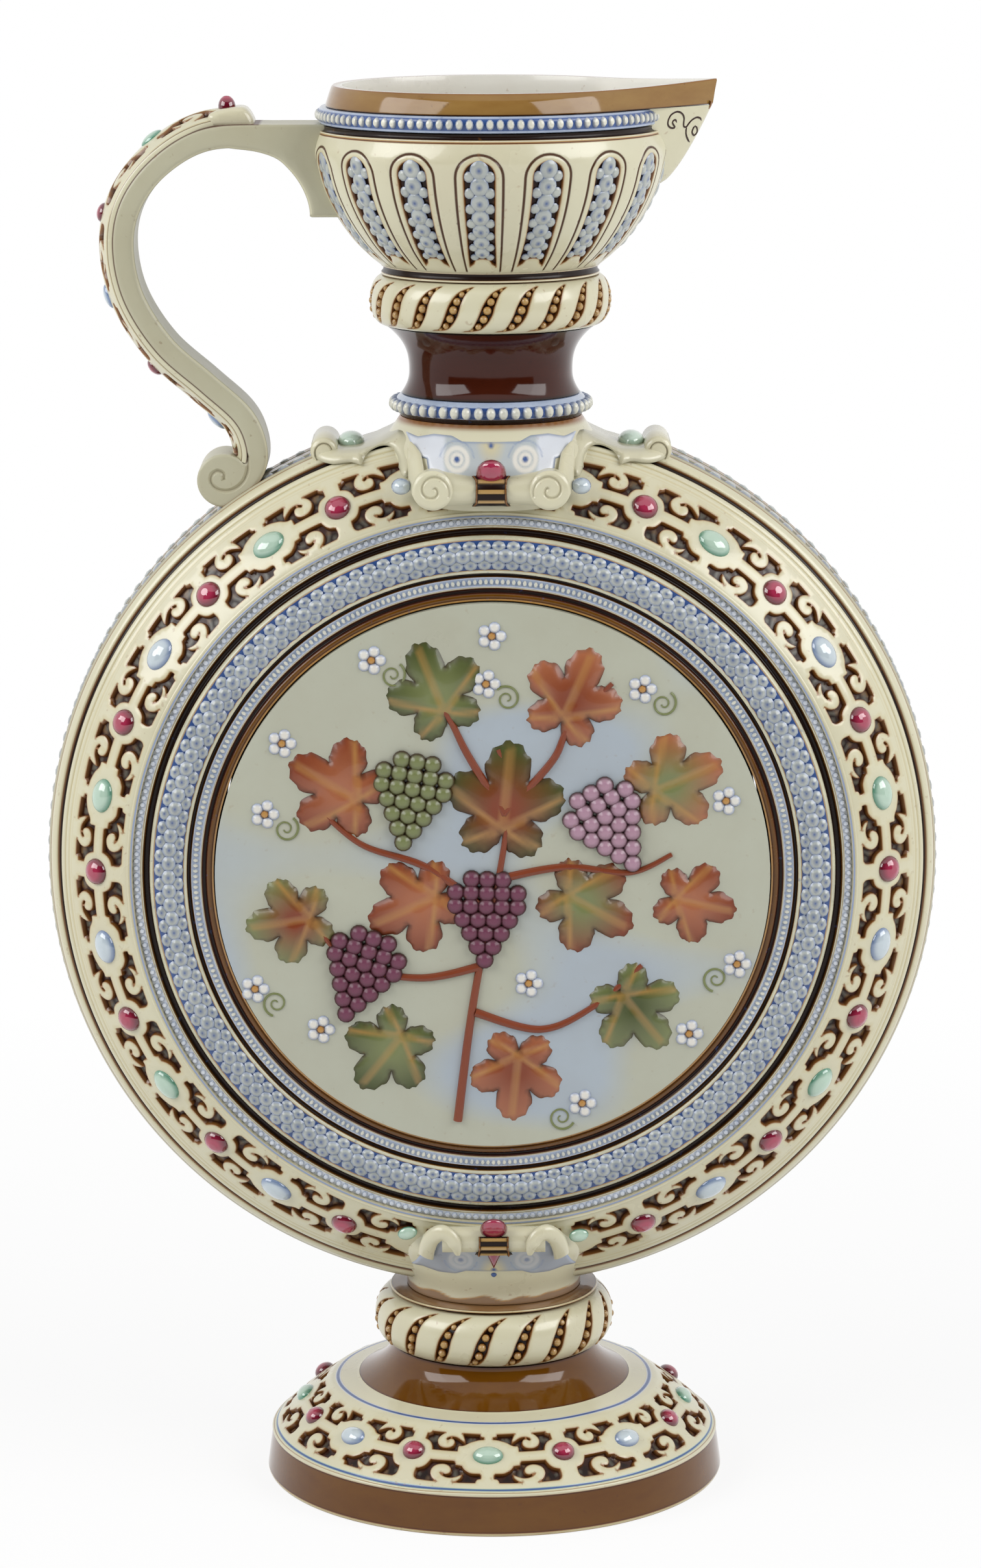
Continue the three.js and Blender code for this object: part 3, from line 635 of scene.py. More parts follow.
def bearings(place: Callable[..., np.ndarray], turn: np.ndarray, along: np.ndarray,
             rise: np.ndarray) -> tuple[np.ndarray, ...]:
    """Where and how to seat beads on a surface.

    The outward vector is the step that a small rise makes, and the up vector the step that a
    small path length makes, less its part along the outward one.

    Args:
        place: gives the point in space of a turn, a path length and a rise.
        turn: the beads' turns.
        along: their path lengths.
        rise: how far their feet stand off the surface.

    Returns:
        Middle, side, up and outward vectors.
    """
    turn, along, rise = (np.asarray(value, float) for value in np.broadcast_arrays(turn, along, rise))
    middle = place(turn, along, rise)
    out = place(turn, along, rise + 0.5) - middle
    up = place(turn, along + 0.3, rise) - place(turn, along - 0.3, rise)
    out /= np.linalg.norm(out, axis=-1, keepdims=True)
    up -= (up * out).sum(-1, keepdims=True) * out
    up /= np.linalg.norm(up, axis=-1, keepdims=True)
    return middle, np.cross(up, out), up, out


@dataclass(frozen=True)
class Turning:
    """A surface turned about an axis, on which a place is a turn, a path length and a rise.

    The outline's points are [radius, height]. On the flask the path length is the flask's
    radius less the radius.
    """

    outline: np.ndarray
    side: Side = Side.UPRIGHT

    @property
    def path(self) -> np.ndarray:
        """Path length at each point of the outline.

        Returns:
            The lengths, from the first point on.
        """
        if self.side is Side.FLASK:
            return FLASK_RADIUS - self.outline[:, 0]
        return np.concatenate([[0], np.cumsum(np.linalg.norm(np.diff(self.outline, axis=0), axis=1))])

    def place(self, turn: np.ndarray, along: np.ndarray, rise: np.ndarray) -> np.ndarray:
        """Points in space.

        The outline is read at the path length, moved by the rise along its normal, which is
        the outline's direction turned a quarter, and carried round the axis by the turn.

        Args:
            turn: angles in degrees.
            along: path lengths.
            rise: distances off the surface.

        Returns:
            Points, one more axis of length 3 than the broadcast inputs.
        """
        turn, along, rise = np.broadcast_arrays(turn, along, rise)
        path = self.path
        slope = np.gradient(self.outline, path, axis=0)
        slope /= np.maximum(np.linalg.norm(slope, axis=1), TINY)[:, None]
        radius = np.interp(along, path, self.outline[:, 0]) + rise * np.interp(along, path, slope[:, 1])
        height = np.interp(along, path, self.outline[:, 1]) - rise * np.interp(along, path, slope[:, 0])
        return self.side.carried(radius, height, turn)

    def bearings(self, turn: np.ndarray, along: np.ndarray, rise: np.ndarray) -> tuple[np.ndarray, ...]:
        """Middle, side, up and outward vectors at places, for what is seated there."""
        return bearings(self.place, turn, along, rise)

    def rings(self, mouldings: Sequence[Moulding], columns: int, step: float = 1.2,
              uneven: float = 0.0, seed: int = 1) -> Shape:
        """The surface with its mouldings, as rings of points.

        Args:
            mouldings: rings in order along the path.
            columns: points round one ring.
            step: the largest distance between two rings of a moulding.
            uneven: how far the hand-finished mouldings stray along the path.
            seed: picks the unevenness.

        Returns:
            The open skin, turned outwards.
        """
        parts = [moulding.stops(step) for moulding in mouldings]
        along, rise, tints = (np.concatenate([part[k] for part in parts]) for k in range(3))
        turn = even_turns(columns)
        stray = uneven * waver(turn, seed)
        inside = (along > along[0] + 0.5) & (along < along[-1] - 0.5)
        points = self.place(turn[None], along[:, None] + stray[None] * inside[:, None], rise[:, None])
        return Shape.grid(points, tints[:, None, :], ring=True)

    def body(self, mouldings: Sequence[Moulding], inner: Sequence[tuple[float, float]], columns: int,
             step: float = 1.2) -> Shape:
        """A closed ring: the moulded skin, and a plain lining from its end back to its start.

        Args:
            mouldings: rings in order along the path.
            inner: [radius, height] points of the lining, from the skin's end to its start.
            columns: points round one ring.
            step: the largest distance between two rings of a moulding.

        Returns:
            The closed ring, turned outwards.
        """
        skin = self.rings(mouldings, columns, step)
        middle = [self.side.carried(radius, height, even_turns(columns)) for radius, height in inner]
        rows = np.stack([skin.points[-columns:], *middle, skin.points[:columns]])
        lining = Shape.grid(rows, Tint.CREAM_SHADE.linear, ring=True)
        return Shape.joined([skin, lining]).welded().outward()

    def band(self, lower: Sequence[Moulding], cells: Shape, span: tuple[float, float],
             upper: Sequence[Moulding], inner: Sequence[tuple[float, float]], columns: int,
             uneven: float = 0.0) -> Shape:
        """A closed ring whose skin has carved cells between two sets of mouldings.

        Args:
            lower: mouldings before the cells.
            cells: the carved skin, its level borders cut into as many steps as the columns.
            span: path lengths of its two borders.
            upper: mouldings after the cells.
            inner: [radius, height] points of the lining, from the skin's end to its start.
            columns: points round one ring.
            uneven: how far the mouldings stray along the path.

        Returns:
            The closed ring.
        """
        turn = even_turns(columns)
        below = self.rings(lower, columns, uneven=uneven)
        above = self.rings(upper, columns, uneven=uneven, seed=4)
        edges = [self.place(turn, np.array(place), np.array(0.0)) for place in span]
        lining = [self.side.carried(radius, height, turn) for radius, height in inner]
        rows = [
            np.stack([below.points[-columns:], edges[0]]),
            np.stack([edges[1], above.points[:columns]]),
            np.stack([above.points[-columns:], *lining, below.points[:columns]]),
        ]
        plain = [Shape.grid(row, Tint.CREAM.linear, ring=True) for row in rows]
        return Shape.joined([below, cells, above, *plain]).welded()


@dataclass(frozen=True)
class Bead:
    """A dome of glaze or clay: a low half ellipsoid whose foot is sunk in what carries it.

    The tint runs to the edge's from the share of the radius called shine, and an eye is a spot
    on the top. The sides are the points round it, and the levels its rings.
    """

    across: float
    along: float
    height: float
    tint: Tint
    edge: Tint
    sides: int = 8
    levels: int = 3
    eye: Tint | None = None
    shine: float = 0.55

    def shape(self) -> Shape:
        """The dome: its radius grows by the sine and its height falls by the cosine of an angle.

        Returns:
            The closed dome over the middle of its foot, its height along the third axis.
        """
        angle = np.radians(np.linspace(0, 112, self.levels + 1))[1:]
        if self.eye:
            angle = np.concatenate([[math.radians(13)], angle])
        turn = np.radians(even_turns(self.sides))
        out, up = np.sin(angle)[:, None], np.cos(angle)[:, None]
        x = out * np.cos(turn)[None] * self.across / 2
        y = out * np.sin(turn)[None] * self.along / 2
        rings = np.stack([x, y, np.broadcast_to(up * self.height, x.shape)], -1)
        tones = blended(np.where(up < 0.1, 1.0, out).ravel(), [(self.shine, self.tint), (0.97, self.edge)])
        if self.eye:
            tones[0] = mixed(self.tint.linear, 0.5, self.eye)
        body = Shape.grid(rings, tones[:, None, :], ring=True)
        ring = np.arange(self.sides)
        after = (ring + 1) % self.sides
        base = (len(angle) - 1) * self.sides
        top, foot = len(body.points), len(body.points) + 1
        caps = [
            np.stack([np.full(self.sides, top), ring, after], 1),
            np.stack([np.full(self.sides, foot), base + after, base + ring], 1),
        ]
        points = np.concatenate([body.points, [[0, 0, self.height], [0, 0, rings[-1, 0, 2]]]])
        tints = np.concatenate([body.tints, [(self.eye or self.tint).linear, self.edge.linear]])
        return Shape(points, np.concatenate([body.faces, *caps]), tints).outward()

    def seated(self, seats: tuple[np.ndarray, ...], turned: float = 0,
               sizes: np.ndarray | None = None) -> Shape:
        """Copies of the dome at many places.

        Args:
            seats: middles, side, up and outward vectors, n of each.
            turned: angle in degrees by which each is turned in its seat.
            sizes: n scales, all 1 when left out.

        Returns:
            All copies as one shape.
        """
        middle, side, up, out = (np.atleast_2d(part) for part in seats)
        angle, one = math.radians(turned), self.shape()
        x, y, z = one.points.T
        across = x * math.cos(angle) - y * math.sin(angle)
        along = x * math.sin(angle) + y * math.cos(angle)
        local = across[None, :, None] * side[:, None] + along[None, :, None] * up[:, None]
        local = local + z[None, :, None] * out[:, None]
        scale = np.ones(len(middle)) if sizes is None else sizes
        points = middle[:, None] + local * scale[:, None, None]
        faces = one.faces[None] + (np.arange(len(middle)) * len(x))[:, None, None]
        return Shape(points.reshape(-1, 3), faces.reshape(-1, 3), np.tile(one.tints, (len(middle), 1)))


@dataclass(frozen=True)
class Strapwork:
    """Half a cell of pierced strapwork, laid flat: across from a round jewel to an oval one.

    The strokes are in millimetres from the round jewel's middle. The other half is its mirror.
    """

    width: float = 26.23
    low: float = -10.6
    high: float = 8.9
    outer: tuple = (
        ((2.67, 4.61), (2.67, 6.5)),
        ((2.67, 6.5), (3.79, 6.57), (4.25, 7.37)),
        ((4.25, 7.37), (9.67, 7.29)),
        ((9.67, 7.29), (8.48, 6.5), (7.62, 5.5), (7.4, 4.43), (7.89, 3.36), (8.88, 2.57), (10.26, 2.11),
         (11.84, 2.14), (13.02, 2.5), (13.73, 3.18), (13.93, 3.93), (13.73, 4.71), (13.02, 5.25),
         (12.15, 5.32), (11.52, 5), (10.89, 4.79)),
        ((10.89, 4.79), (10.58, 5.14), (10.85, 5.54)),
        ((10.85, 5.54), (11.76, 5.93), (13.02, 6.07), (14.4, 5.86), (15.39, 5.43), (16.42, 4.86),
         (17.6, 4.14)),
        ((17.6, 4.14), (17.6, 4.93), (17.28, 5.64), (16.73, 6.57), (16.09, 7.37)),
        ((16.09, 7.37), (23.19, 7.21)),
        ((23.19, 7.21), (23.52, 6.36), (24.55, 6.14)),
        ((24.55, 6.14), (24.47, 5.43)),
        ((24.47, 5.43), (22.89, 5.29), (20.92, 4.79), (19.34, 4.25), (18.31, 3.64), (17.05, 3.14),
         (15.79, 3.07)),
        ((15.79, 3.07), (15.47, 2.79), (15.47, 1.21)),
        ((15.47, 1.21), (6.51, 1.21)),
        ((6.51, 1.21), (6, 2.46), (5.13, 3.54), (4.14, 4.16), (2.67, 4.61)),
    )
    inner: tuple = (
        ((7.01, -2.14), (15, -2.07)),
        ((15, -2.07), (15.47, -2.5), (15.71, -3.36)),
        ((15.71, -3.36), (17.76, -3.57)),
        ((17.76, -3.57), (18.75, -4.68), (19.93, -5.43), (21.23, -5.93), (23.76, -6)),
        ((23.76, -6), (24.23, -6.5), (24.15, -7.5)),
        ((24.15, -7.5), (22.97, -7.79), (22.49, -8.79)),
        ((22.49, -8.79), (15.63, -8.89)),
        ((15.63, -8.89), (16.97, -8.29), (17.92, -7.36), (18.31, -6.29)),
        ((18.31, -6.29), (17.52, -6.57), (16.42, -7.07), (15, -7.43), (13.42, -7.39), (12.04, -6.93),
         (11.05, -6.18)),
        ((11.05, -6.18), (11.92, -6.14), (12.87, -6.43), (13.81, -6.29), (14.44, -5.57), (14.36, -4.64),
         (13.65, -3.79), (12.23, -3.25), (10.66, -3.29), (9.16, -3.79), (8.21, -4.68), (7.89, -5.93),
         (8.29, -7), (9.08, -8), (10.66, -8.93)),
        ((10.66, -8.93), (4.14, -8.79)),
        ((4.14, -8.79), (3.16, -8.14), (2.84, -7), (2.96, -5.43)),
        ((2.96, -5.43), (4.74, -4.89), (5.92, -3.96), (6.63, -2.86), (7.01, -2.14)),
    )

    def half(self, borders: int) -> Relief:
        """The flat half cell with both recesses, its level border cut into this many steps."""
        cuts = [traced(strokes, 0.6) for strokes in (self.outer, self.inner)]
        return Relief.carved((0, self.low), (self.width, self.high), cuts, borders, Carving())


@dataclass(frozen=True)
class Carving:
    """How recesses and engraved lines are cut, and how far apart the net's points lie."""

    depth: float = 1.5
    wall: float = 0.4
    fillet: float = 0.45
    spacing: float = 1.35
    stipple: bool = True
    rounding: float = 0.16
    line_depth: float = 0.3
    line_half: float = 0.6


@dataclass(frozen=True)
class Relief:
    """A flat oblong of clay with recesses: places, triangles, rises, colours, width and height."""

    places: np.ndarray
    faces: np.ndarray
    rises: np.ndarray
    tints: np.ndarray
    size: tuple[float, float]

    @classmethod
    def carved(cls, low: tuple[float, float], high: tuple[float, float], cuts: Sequence[np.ndarray],
               borders: int, rule: Carving, lines: Sequence[np.ndarray] = ()) -> Relief:
        """Carves recesses and engraved lines in an oblong.

        A point's rise comes from its signed distance to the nearest recess: it falls by the
        square over the fillet outside the edge, and evenly over the wall inside it. Along an
        engraved line it falls evenly to the line.

        Args:
            low: the oblong's lowest corner.
            high: its highest corner.
            cuts: closed outlines of the recesses.
            borders: steps along the level borders.
            rule: how the recesses and the lines are cut.
            lines: open engraved lines.

        Returns:
            The relief.
        """
        frame = oblong(low, high, borders)
        gap = rule.spacing / 2
        net = staggered((low[0] + gap, low[1] + gap), high, rule.spacing, rule.spacing / 3)
        net = net[edge_distance(net, frame) < -0.3 * rule.spacing]
        away = edge_distance(net, *cuts)
        net = net[(away > rule.fillet + 0.3 * rule.spacing) | (away < -rule.wall - 0.25 * rule.spacing)]
        for line in lines:
            net = net[line_distance(net, line) > rule.line_half + 0.25 * rule.spacing]
        hems = []
        for cut in cuts:
            across = crosswise(np.roll(cut, -1, axis=0) - np.roll(cut, 1, axis=0))
            for hem in (rule.fillet, -rule.wall):
                for row in (cut + across * hem, cut - across * hem):
                    hems.append(row[np.abs(edge_distance(row, *cuts) - hem) < 0.12 * abs(hem)])
        for line in lines:
            across = crosswise(np.gradient(line, axis=0)) * rule.line_half
            hems += [line + across * share for share in (0, -1, -0.5, 0.5, 1)]
        count, edges = len(frame), looped(0, len(frame))
        for cut in cuts:
            edges += looped(count, len(cut))
            count += len(cut)
        places, faces = triangulated(np.concatenate([frame, *cuts, *hems, net]), edges)
        away = edge_distance(places, *cuts)
        away = np.where(np.abs(away) < 1e-3, 0, away)
        outside = -rule.rounding * np.clip(1 - away / rule.fillet, 0, 1) ** 2
        inside = -rule.depth * np.clip(-away / rule.wall, 0, 1) - rule.rounding
        rises = np.where(away > 0, outside, inside)
        tints = carved_tints(away, np.random.default_rng(7).random(len(away)), rule.stipple)
        groove_darkening = mixed(Tint.LINE.linear, 0.2, Tint.AMBER)
        for line in lines:
            near = line_distance(places, line)
            rises -= rule.line_depth * np.clip(1 - near / 0.5, 0, 1)
            share = np.clip((rule.line_half - near) / 0.25, 0, 1)[:, None]
            tints = tints * (1 - share) + share * groove_darkening
        return cls(places, faces, rises, tints, (high[0] - low[0], high[1] - low[1]))

    def wrapped(self, place: Callable[..., np.ndarray], count: int, pitch: float, middle: float,
                stretch: float, first: float = 0.0, mirrored: bool = True, shear: float = 0.0) -> Shape:
        """Copies of the relief side by side on a surface, each second one mirrored.

        Args:
            place: gives the point in space of a turn, a path length and a rise.
            count: how many copies.
            pitch: turn, or length, that one copy takes on the surface.
            middle: path length of the relief's zero height.
            stretch: path length for one millimetre of the relief's height, below 0 to turn it over.
            first: turn of the first copy's left border.
            mirrored: each second copy is mirrored.
            shear: turn added for one millimetre of the relief's height.

        Returns:
            An open skin.
        """
        share = self.places[:, 0] / self.size[0]
        shapes = []
        for copy in range(count):
            odd = mirrored and copy % 2 == 1
            turn = first + (copy + (1 - share if odd else share)) * pitch + shear * self.places[:, 1]
            points = place(turn, middle + stretch * self.places[:, 1], self.rises)
            faces = self.faces[:, ::-1] if odd != (stretch < 0) else self.faces
            shapes.append(Shape(points, faces, self.tints))
        return Shape.joined(shapes)


def carved_tints(away: np.ndarray, chance: np.ndarray, stipple: bool) -> np.ndarray:
    """Glaze over a carved edge: cream, an amber line where it runs thin, and dark in the recess.

    Here and there the stippled floor shows a tan spot, and a grey-violet spot of painted sheen.

    Args:
        away: signed distances to the recess, below 0 inside it.
        chance: a value between 0 and 1 for each point.
        stipple: whether the floor shows spots.

    Returns:
        Linear colours.
    """
    tints = blended(away, [
        (-0.5, Tint.UMBER), (-0.3, Tint.BROWN), (0.02, Tint.AMBER), (0.3, Tint.CREAM_WARM),
        (0.9, Tint.CREAM)])
    floor = (away < -0.45) & stipple
    tints[floor & (chance > 0.8)] = mixed(Tint.UMBER.linear, 0.25, Tint.HONEY)
    # The grey-violet spots are painted sheen on the glossy floor.
    tints[floor & (chance < 0.28)] = mixed(Tint.UMBER.linear, 0.16, Tint.CREAM_SHADE)
    return tints


def upright_steps(low: Sequence[float], high: Sequence[float], steps: int) -> int:
    """Steps of an oblong's upright sides that come nearest to those of its level sides."""
    return max(2, round((high[1] - low[1]) / ((high[0] - low[0]) / steps)))


def oblong(low: Sequence[float], high: Sequence[float], steps: int) -> np.ndarray:
    """Points in even steps round an oblong, from its lowest corner anticlockwise.

    Args:
        low: the lowest corner.
        high: the highest corner.
        steps: steps along each level side.

    Returns:
        The points, the first not repeated at the end.
    """
    upright = upright_steps(low, high, steps)
    level = np.linspace(low[0], high[0], steps + 1)
    height = np.linspace(low[1], high[1], upright + 1)
    return np.concatenate([
        np.stack([level[:-1], np.full(steps, low[1])], 1),
        np.stack([np.full(upright, high[0]), height[:-1]], 1),
        np.stack([level[:0:-1], np.full(steps, high[1])], 1),
        np.stack([np.full(upright, low[0]), height[:0:-1]], 1),
    ])


@dataclass(frozen=True)
class Glaze:
    """A fired glaze over stained stoneware: its gloss, its mottling and its specks.

    The mesh carries the painted colour of each point. The nodes break it up as a fired glaze
    does: broad mottling where it lies thicker or thinner, fine brown specks of iron, and a
    slow ripple that bends the reflections. Over dark colours, stains and painted shade alike,
    the gloss falls to the share called dry.
    """

    name: str
    roughness: float
    coat: float
    mottle: float
    mottle_mm: float
    ripple_mm: float
    speck: Tint
    specks: float = 0.0
    warm: Tint = Tint.HONEY
    stretch: tuple[float, float, float] = (1.0, 1.0, 1.0)
    ior: float = 1.5
    level: float = 0.5
    dry: float = 0.3

    def material(self) -> bpy.types.Material:
        """The finish as a Blender material, made once.

        Returns:
            The material.
        """
        found = bpy.data.materials.get(self.name)
        if found:
            return found
        material = bpy.data.materials.new(self.name)
        tree = emptied(material)
        place = add(tree, "ShaderNodeTexCoord").outputs["Object"]
        mapped = add(tree, "ShaderNodeMapping", {"Vector": place, "Scale": self.stretch})
        colour = add(tree, "ShaderNodeAttribute", attribute_name="tint").outputs["Color"]
        broad = add(tree, "ShaderNodeTexNoise", {
            "Vector": mapped.outputs[0], "Scale": 1000 / self.mottle_mm, "Detail": 4.0,
            "Roughness": 0.6}).outputs["Fac"]
        shade = add(tree, "ShaderNodeValToRGB", {"Fac": broad})
        for stop, place_on, share in zip(shade.color_ramp.elements, (0.3, 0.68), (self.mottle, 0.0)):
            stop.position = place_on
            stop.color = (*(1 - share * (1 - self.warm.linear)), 1)
        mottled = add(tree, "ShaderNodeMix", {0: 1.0, 6: colour, 7: shade.outputs["Color"]},
                      data_type="RGBA", blend_type="MULTIPLY")
        # Iron specks are about 0.4 mm across; they are drawn six times as coarse so that they show.
        grains = add(tree, "ShaderNodeTexNoise", {"Vector": place, "Scale": 1000 / 2.4, "Detail": 2.0})
        spots = add(tree, "ShaderNodeMapRange", {
            "Value": grains.outputs["Fac"], "From Min": 0.68, "From Max": 0.76, "To Min": 0.0,
            "To Max": self.specks})
        speckled = add(tree, "ShaderNodeMix", {
            0: spots.outputs[0], 6: mottled.outputs[2], 7: (*self.speck.linear, 1)}, data_type="RGBA")
        sheen = add(tree, "ShaderNodeMapRange", {
            "Value": broad, "From Min": 0.3, "From Max": 0.7,
            "To Min": self.roughness * 0.8, "To Max": self.roughness * 1.2})
        ripple = add(tree, "ShaderNodeTexNoise", {
            "Vector": place, "Scale": 1000 / self.ripple_mm, "Detail": 3.0})
        bump = add(tree, "ShaderNodeBump", {
            "Strength": 0.35, "Distance": 0.00025, "Height": ripple.outputs["Fac"]})
        gloss = {"Specular IOR Level": self.level, "Coat Weight": self.coat}
        if self.dry < 1:
            # Over dark colours, stains and painted shade alike, the gloss drops as on a thin, dry
            # glaze, so that it mirrors less of the room.
            grey = add(tree, "ShaderNodeRGBToBW", {0: colour}).outputs[0]
            gloss = {
                socket: add(tree, "ShaderNodeMapRange", {
                    "Value": grey, "From Min": 0.01, "From Max": 0.12,
                    "To Min": self.dry * full, "To Max": full}).outputs[0]
                for socket, full in gloss.items()
            }
        shader = add(tree, "ShaderNodeBsdfPrincipled", {
            "Base Color": speckled.outputs[2], "Roughness": sheen.outputs[0], "Normal": bump.outputs[0],
            "IOR": self.ior, "Coat Roughness": 0.06, "Coat IOR": 1.5, **gloss})
        add(tree, "ShaderNodeOutputMaterial", {"Surface": shader.outputs[0]})
        return material


def emptied(block: bpy.types.Material | bpy.types.World) -> bpy.types.NodeTree:
    """Clears the node tree of a new material or world.

    Args:
        block: the material or the world.

    Returns:
        Its empty tree.
    """
    block.use_nodes = True
    block.node_tree.nodes.clear()
    return block.node_tree


def add(tree: bpy.types.NodeTree, kind: str, inputs: dict | None = None,
        **settings: object) -> bpy.types.Node:
    """Adds one node with its settings, its constants and its links.

    Args:
        tree: the node tree.
        kind: the node's Blender type.
        inputs: for each socket, by name or number, a constant or another node's output.
        settings: options of the node itself.

    Returns:
        The node.
    """
    node = tree.nodes.new(kind)
    for name, value in settings.items():
        setattr(node, name, value)
    for socket, value in (inputs or {}).items():
        if isinstance(value, bpy.types.NodeSocket):
            tree.links.new(value, node.inputs[socket])
        else:
            node.inputs[socket].default_value = value
    return node


# Stoneware with an ivory salt glaze: satin, faintly mottled, freckled with iron.
CREAM = Glaze("ivory_stoneware_glaze", 0.3, 0.35, 0.1, 38, 5, Tint.AMBER, 0.3)
# The handle's flat sides: the same clay under a thinner, greyer glaze with less gloss.
STONE = Glaze("grey_stoneware_glaze", 0.42, 0.15, 0.12, 30, 4, Tint.RUSSET, 0.35)
# Cobalt wash pooled round pearls and scales: glossy, stronger where it lies thick.
COBALT = Glaze("cobalt_wash_glaze", 0.26, 0.45, 0.3, 9, 4, Tint.BLUE, 0.35, warm=Tint.PERIWINKLE)
# Manganese brown: a thick glassy glaze that mirrors the lamps, streaked round the turning.
BROWN = Glaze("manganese_brown_glaze", 0.1, 0.2, 0.45, 26, 14, Tint.UMBER, 0.2,
              stretch=(0.6, 0.6, 4.0), ior=1.4, level=0.32, dry=1.0)
# Thin brown slip under a clear glaze: the lip and the foot, mirror-like and cloudy in colour.
TAUPE = Glaze("brown_slip_glaze", 0.1, 0.25, 0.4, 18, 12, Tint.BROWN, 0.3,
              stretch=(0.7, 0.7, 2.0), ior=1.4, level=0.4, dry=1.0)
# Medallion clay: pale grey-green under a satin glaze, coloured with painted stains.
CLAY = Glaze("pale_medallion_glaze", 0.34, 0.25, 0.1, 24, 5, Tint.AMBER, 0.15)
# Enamel drops: thick coloured glass, almost smooth.
ENAMEL = Glaze("glass_enamel", 0.07, 1.0, 0.2, 5, 9, Tint.UMBER, 0.0, warm=Tint.WHITE, ior=1.52, dry=1.0)


def piece(name: str, shape: Shape, glaze: Glaze, nodes: Sequence[str] = (),
          crease: float = 40) -> None:
    """Makes a shape an object in metres that rides on the jug.

    Args:
        name: the object's name.
        shape: its surface in millimetres.
        glaze: its finish.
        nodes: CAD nodes that it stands for.
        crease: edges sharper than this many degrees stay sharp.
    """
    mesh = bpy.data.meshes.new(name)
    count = len(shape.faces)
    mesh.vertices.add(len(shape.points))
    mesh.vertices.foreach_set("co", (shape.points * MM).astype(np.float32).ravel())
    mesh.loops.add(3 * count)
    mesh.loops.foreach_set("vertex_index", shape.faces.astype(np.int32).ravel())
    mesh.polygons.add(count)
    mesh.polygons.foreach_set("loop_start", np.arange(0, 3 * count, 3, dtype=np.int32))
    mesh.polygons.foreach_set("use_smooth", np.ones(count, dtype=bool))
    mesh.update(calc_edges=True)
    tints = mesh.color_attributes.new("tint", "FLOAT_COLOR", "POINT")
    colours = np.concatenate([shape.tints, np.ones((len(shape.points), 1))], axis=1)
    tints.data.foreach_set("color", colours.astype(np.float32).ravel())
    mesh.validate()
    mesh.set_sharp_from_angle(angle=math.radians(crease))
    mesh.materials.append(glaze.material())
    made = bpy.data.objects.new(name, mesh)
    bpy.context.scene.collection.objects.link(made)
    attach(made, "root")
    if nodes:
        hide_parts(*nodes)
    LOG.info("%s: %d faces", name, count)


def both(name: str, shape: Shape, glaze: Glaze, node: str = "", crease: float = 40) -> None:
    """Makes a piece on the front and again, turned half round, on the back.

    Args:
        name: the objects' name after "front_" and "back_".
        shape: the front one.
        glaze: its finish.
        node: the CAD node's name, with {} for the side.
        crease: edges sharper than this many degrees stay sharp.
    """
    for side, turned in (("front", shape), ("back", shape.half_turned())):
        piece(f"{side}_{name}", turned, glaze, [node.format(side)] if node else [], crease)


# The upper edge of a shoulder arm, from the collar to its volute, as [across, height].
ARM_EDGE = ((0, 369.6), (30, 369.6), (31.5, 366.0), (34, 364.2), (39, 361.7), (44, 360.2), (50, 359.8),
            (54, 360.6), (57.4, 362.5))
JEWEL_SLOTS = {"red": "red_enamel", "green": "green_enamel", "ice": "blue_glaze"}


def tucked(shape: Shape) -> Shape:
    """Brings what would stand over the upper saddle's arms down inside them.

    Args:
        shape: a piece of the flask.

    Returns:
        The piece, no higher beside the neck than 1.5 mm under the arms' upper edge.
    """
    x, y, z = shape.points.T
    edge = np.interp(np.abs(x), *np.array(ARM_EDGE).T, right=999.0) - 1.5
    return Shape(np.stack([x, y, np.where(z > 300, np.minimum(z, edge), z)], 1), shape.faces, shape.tints)


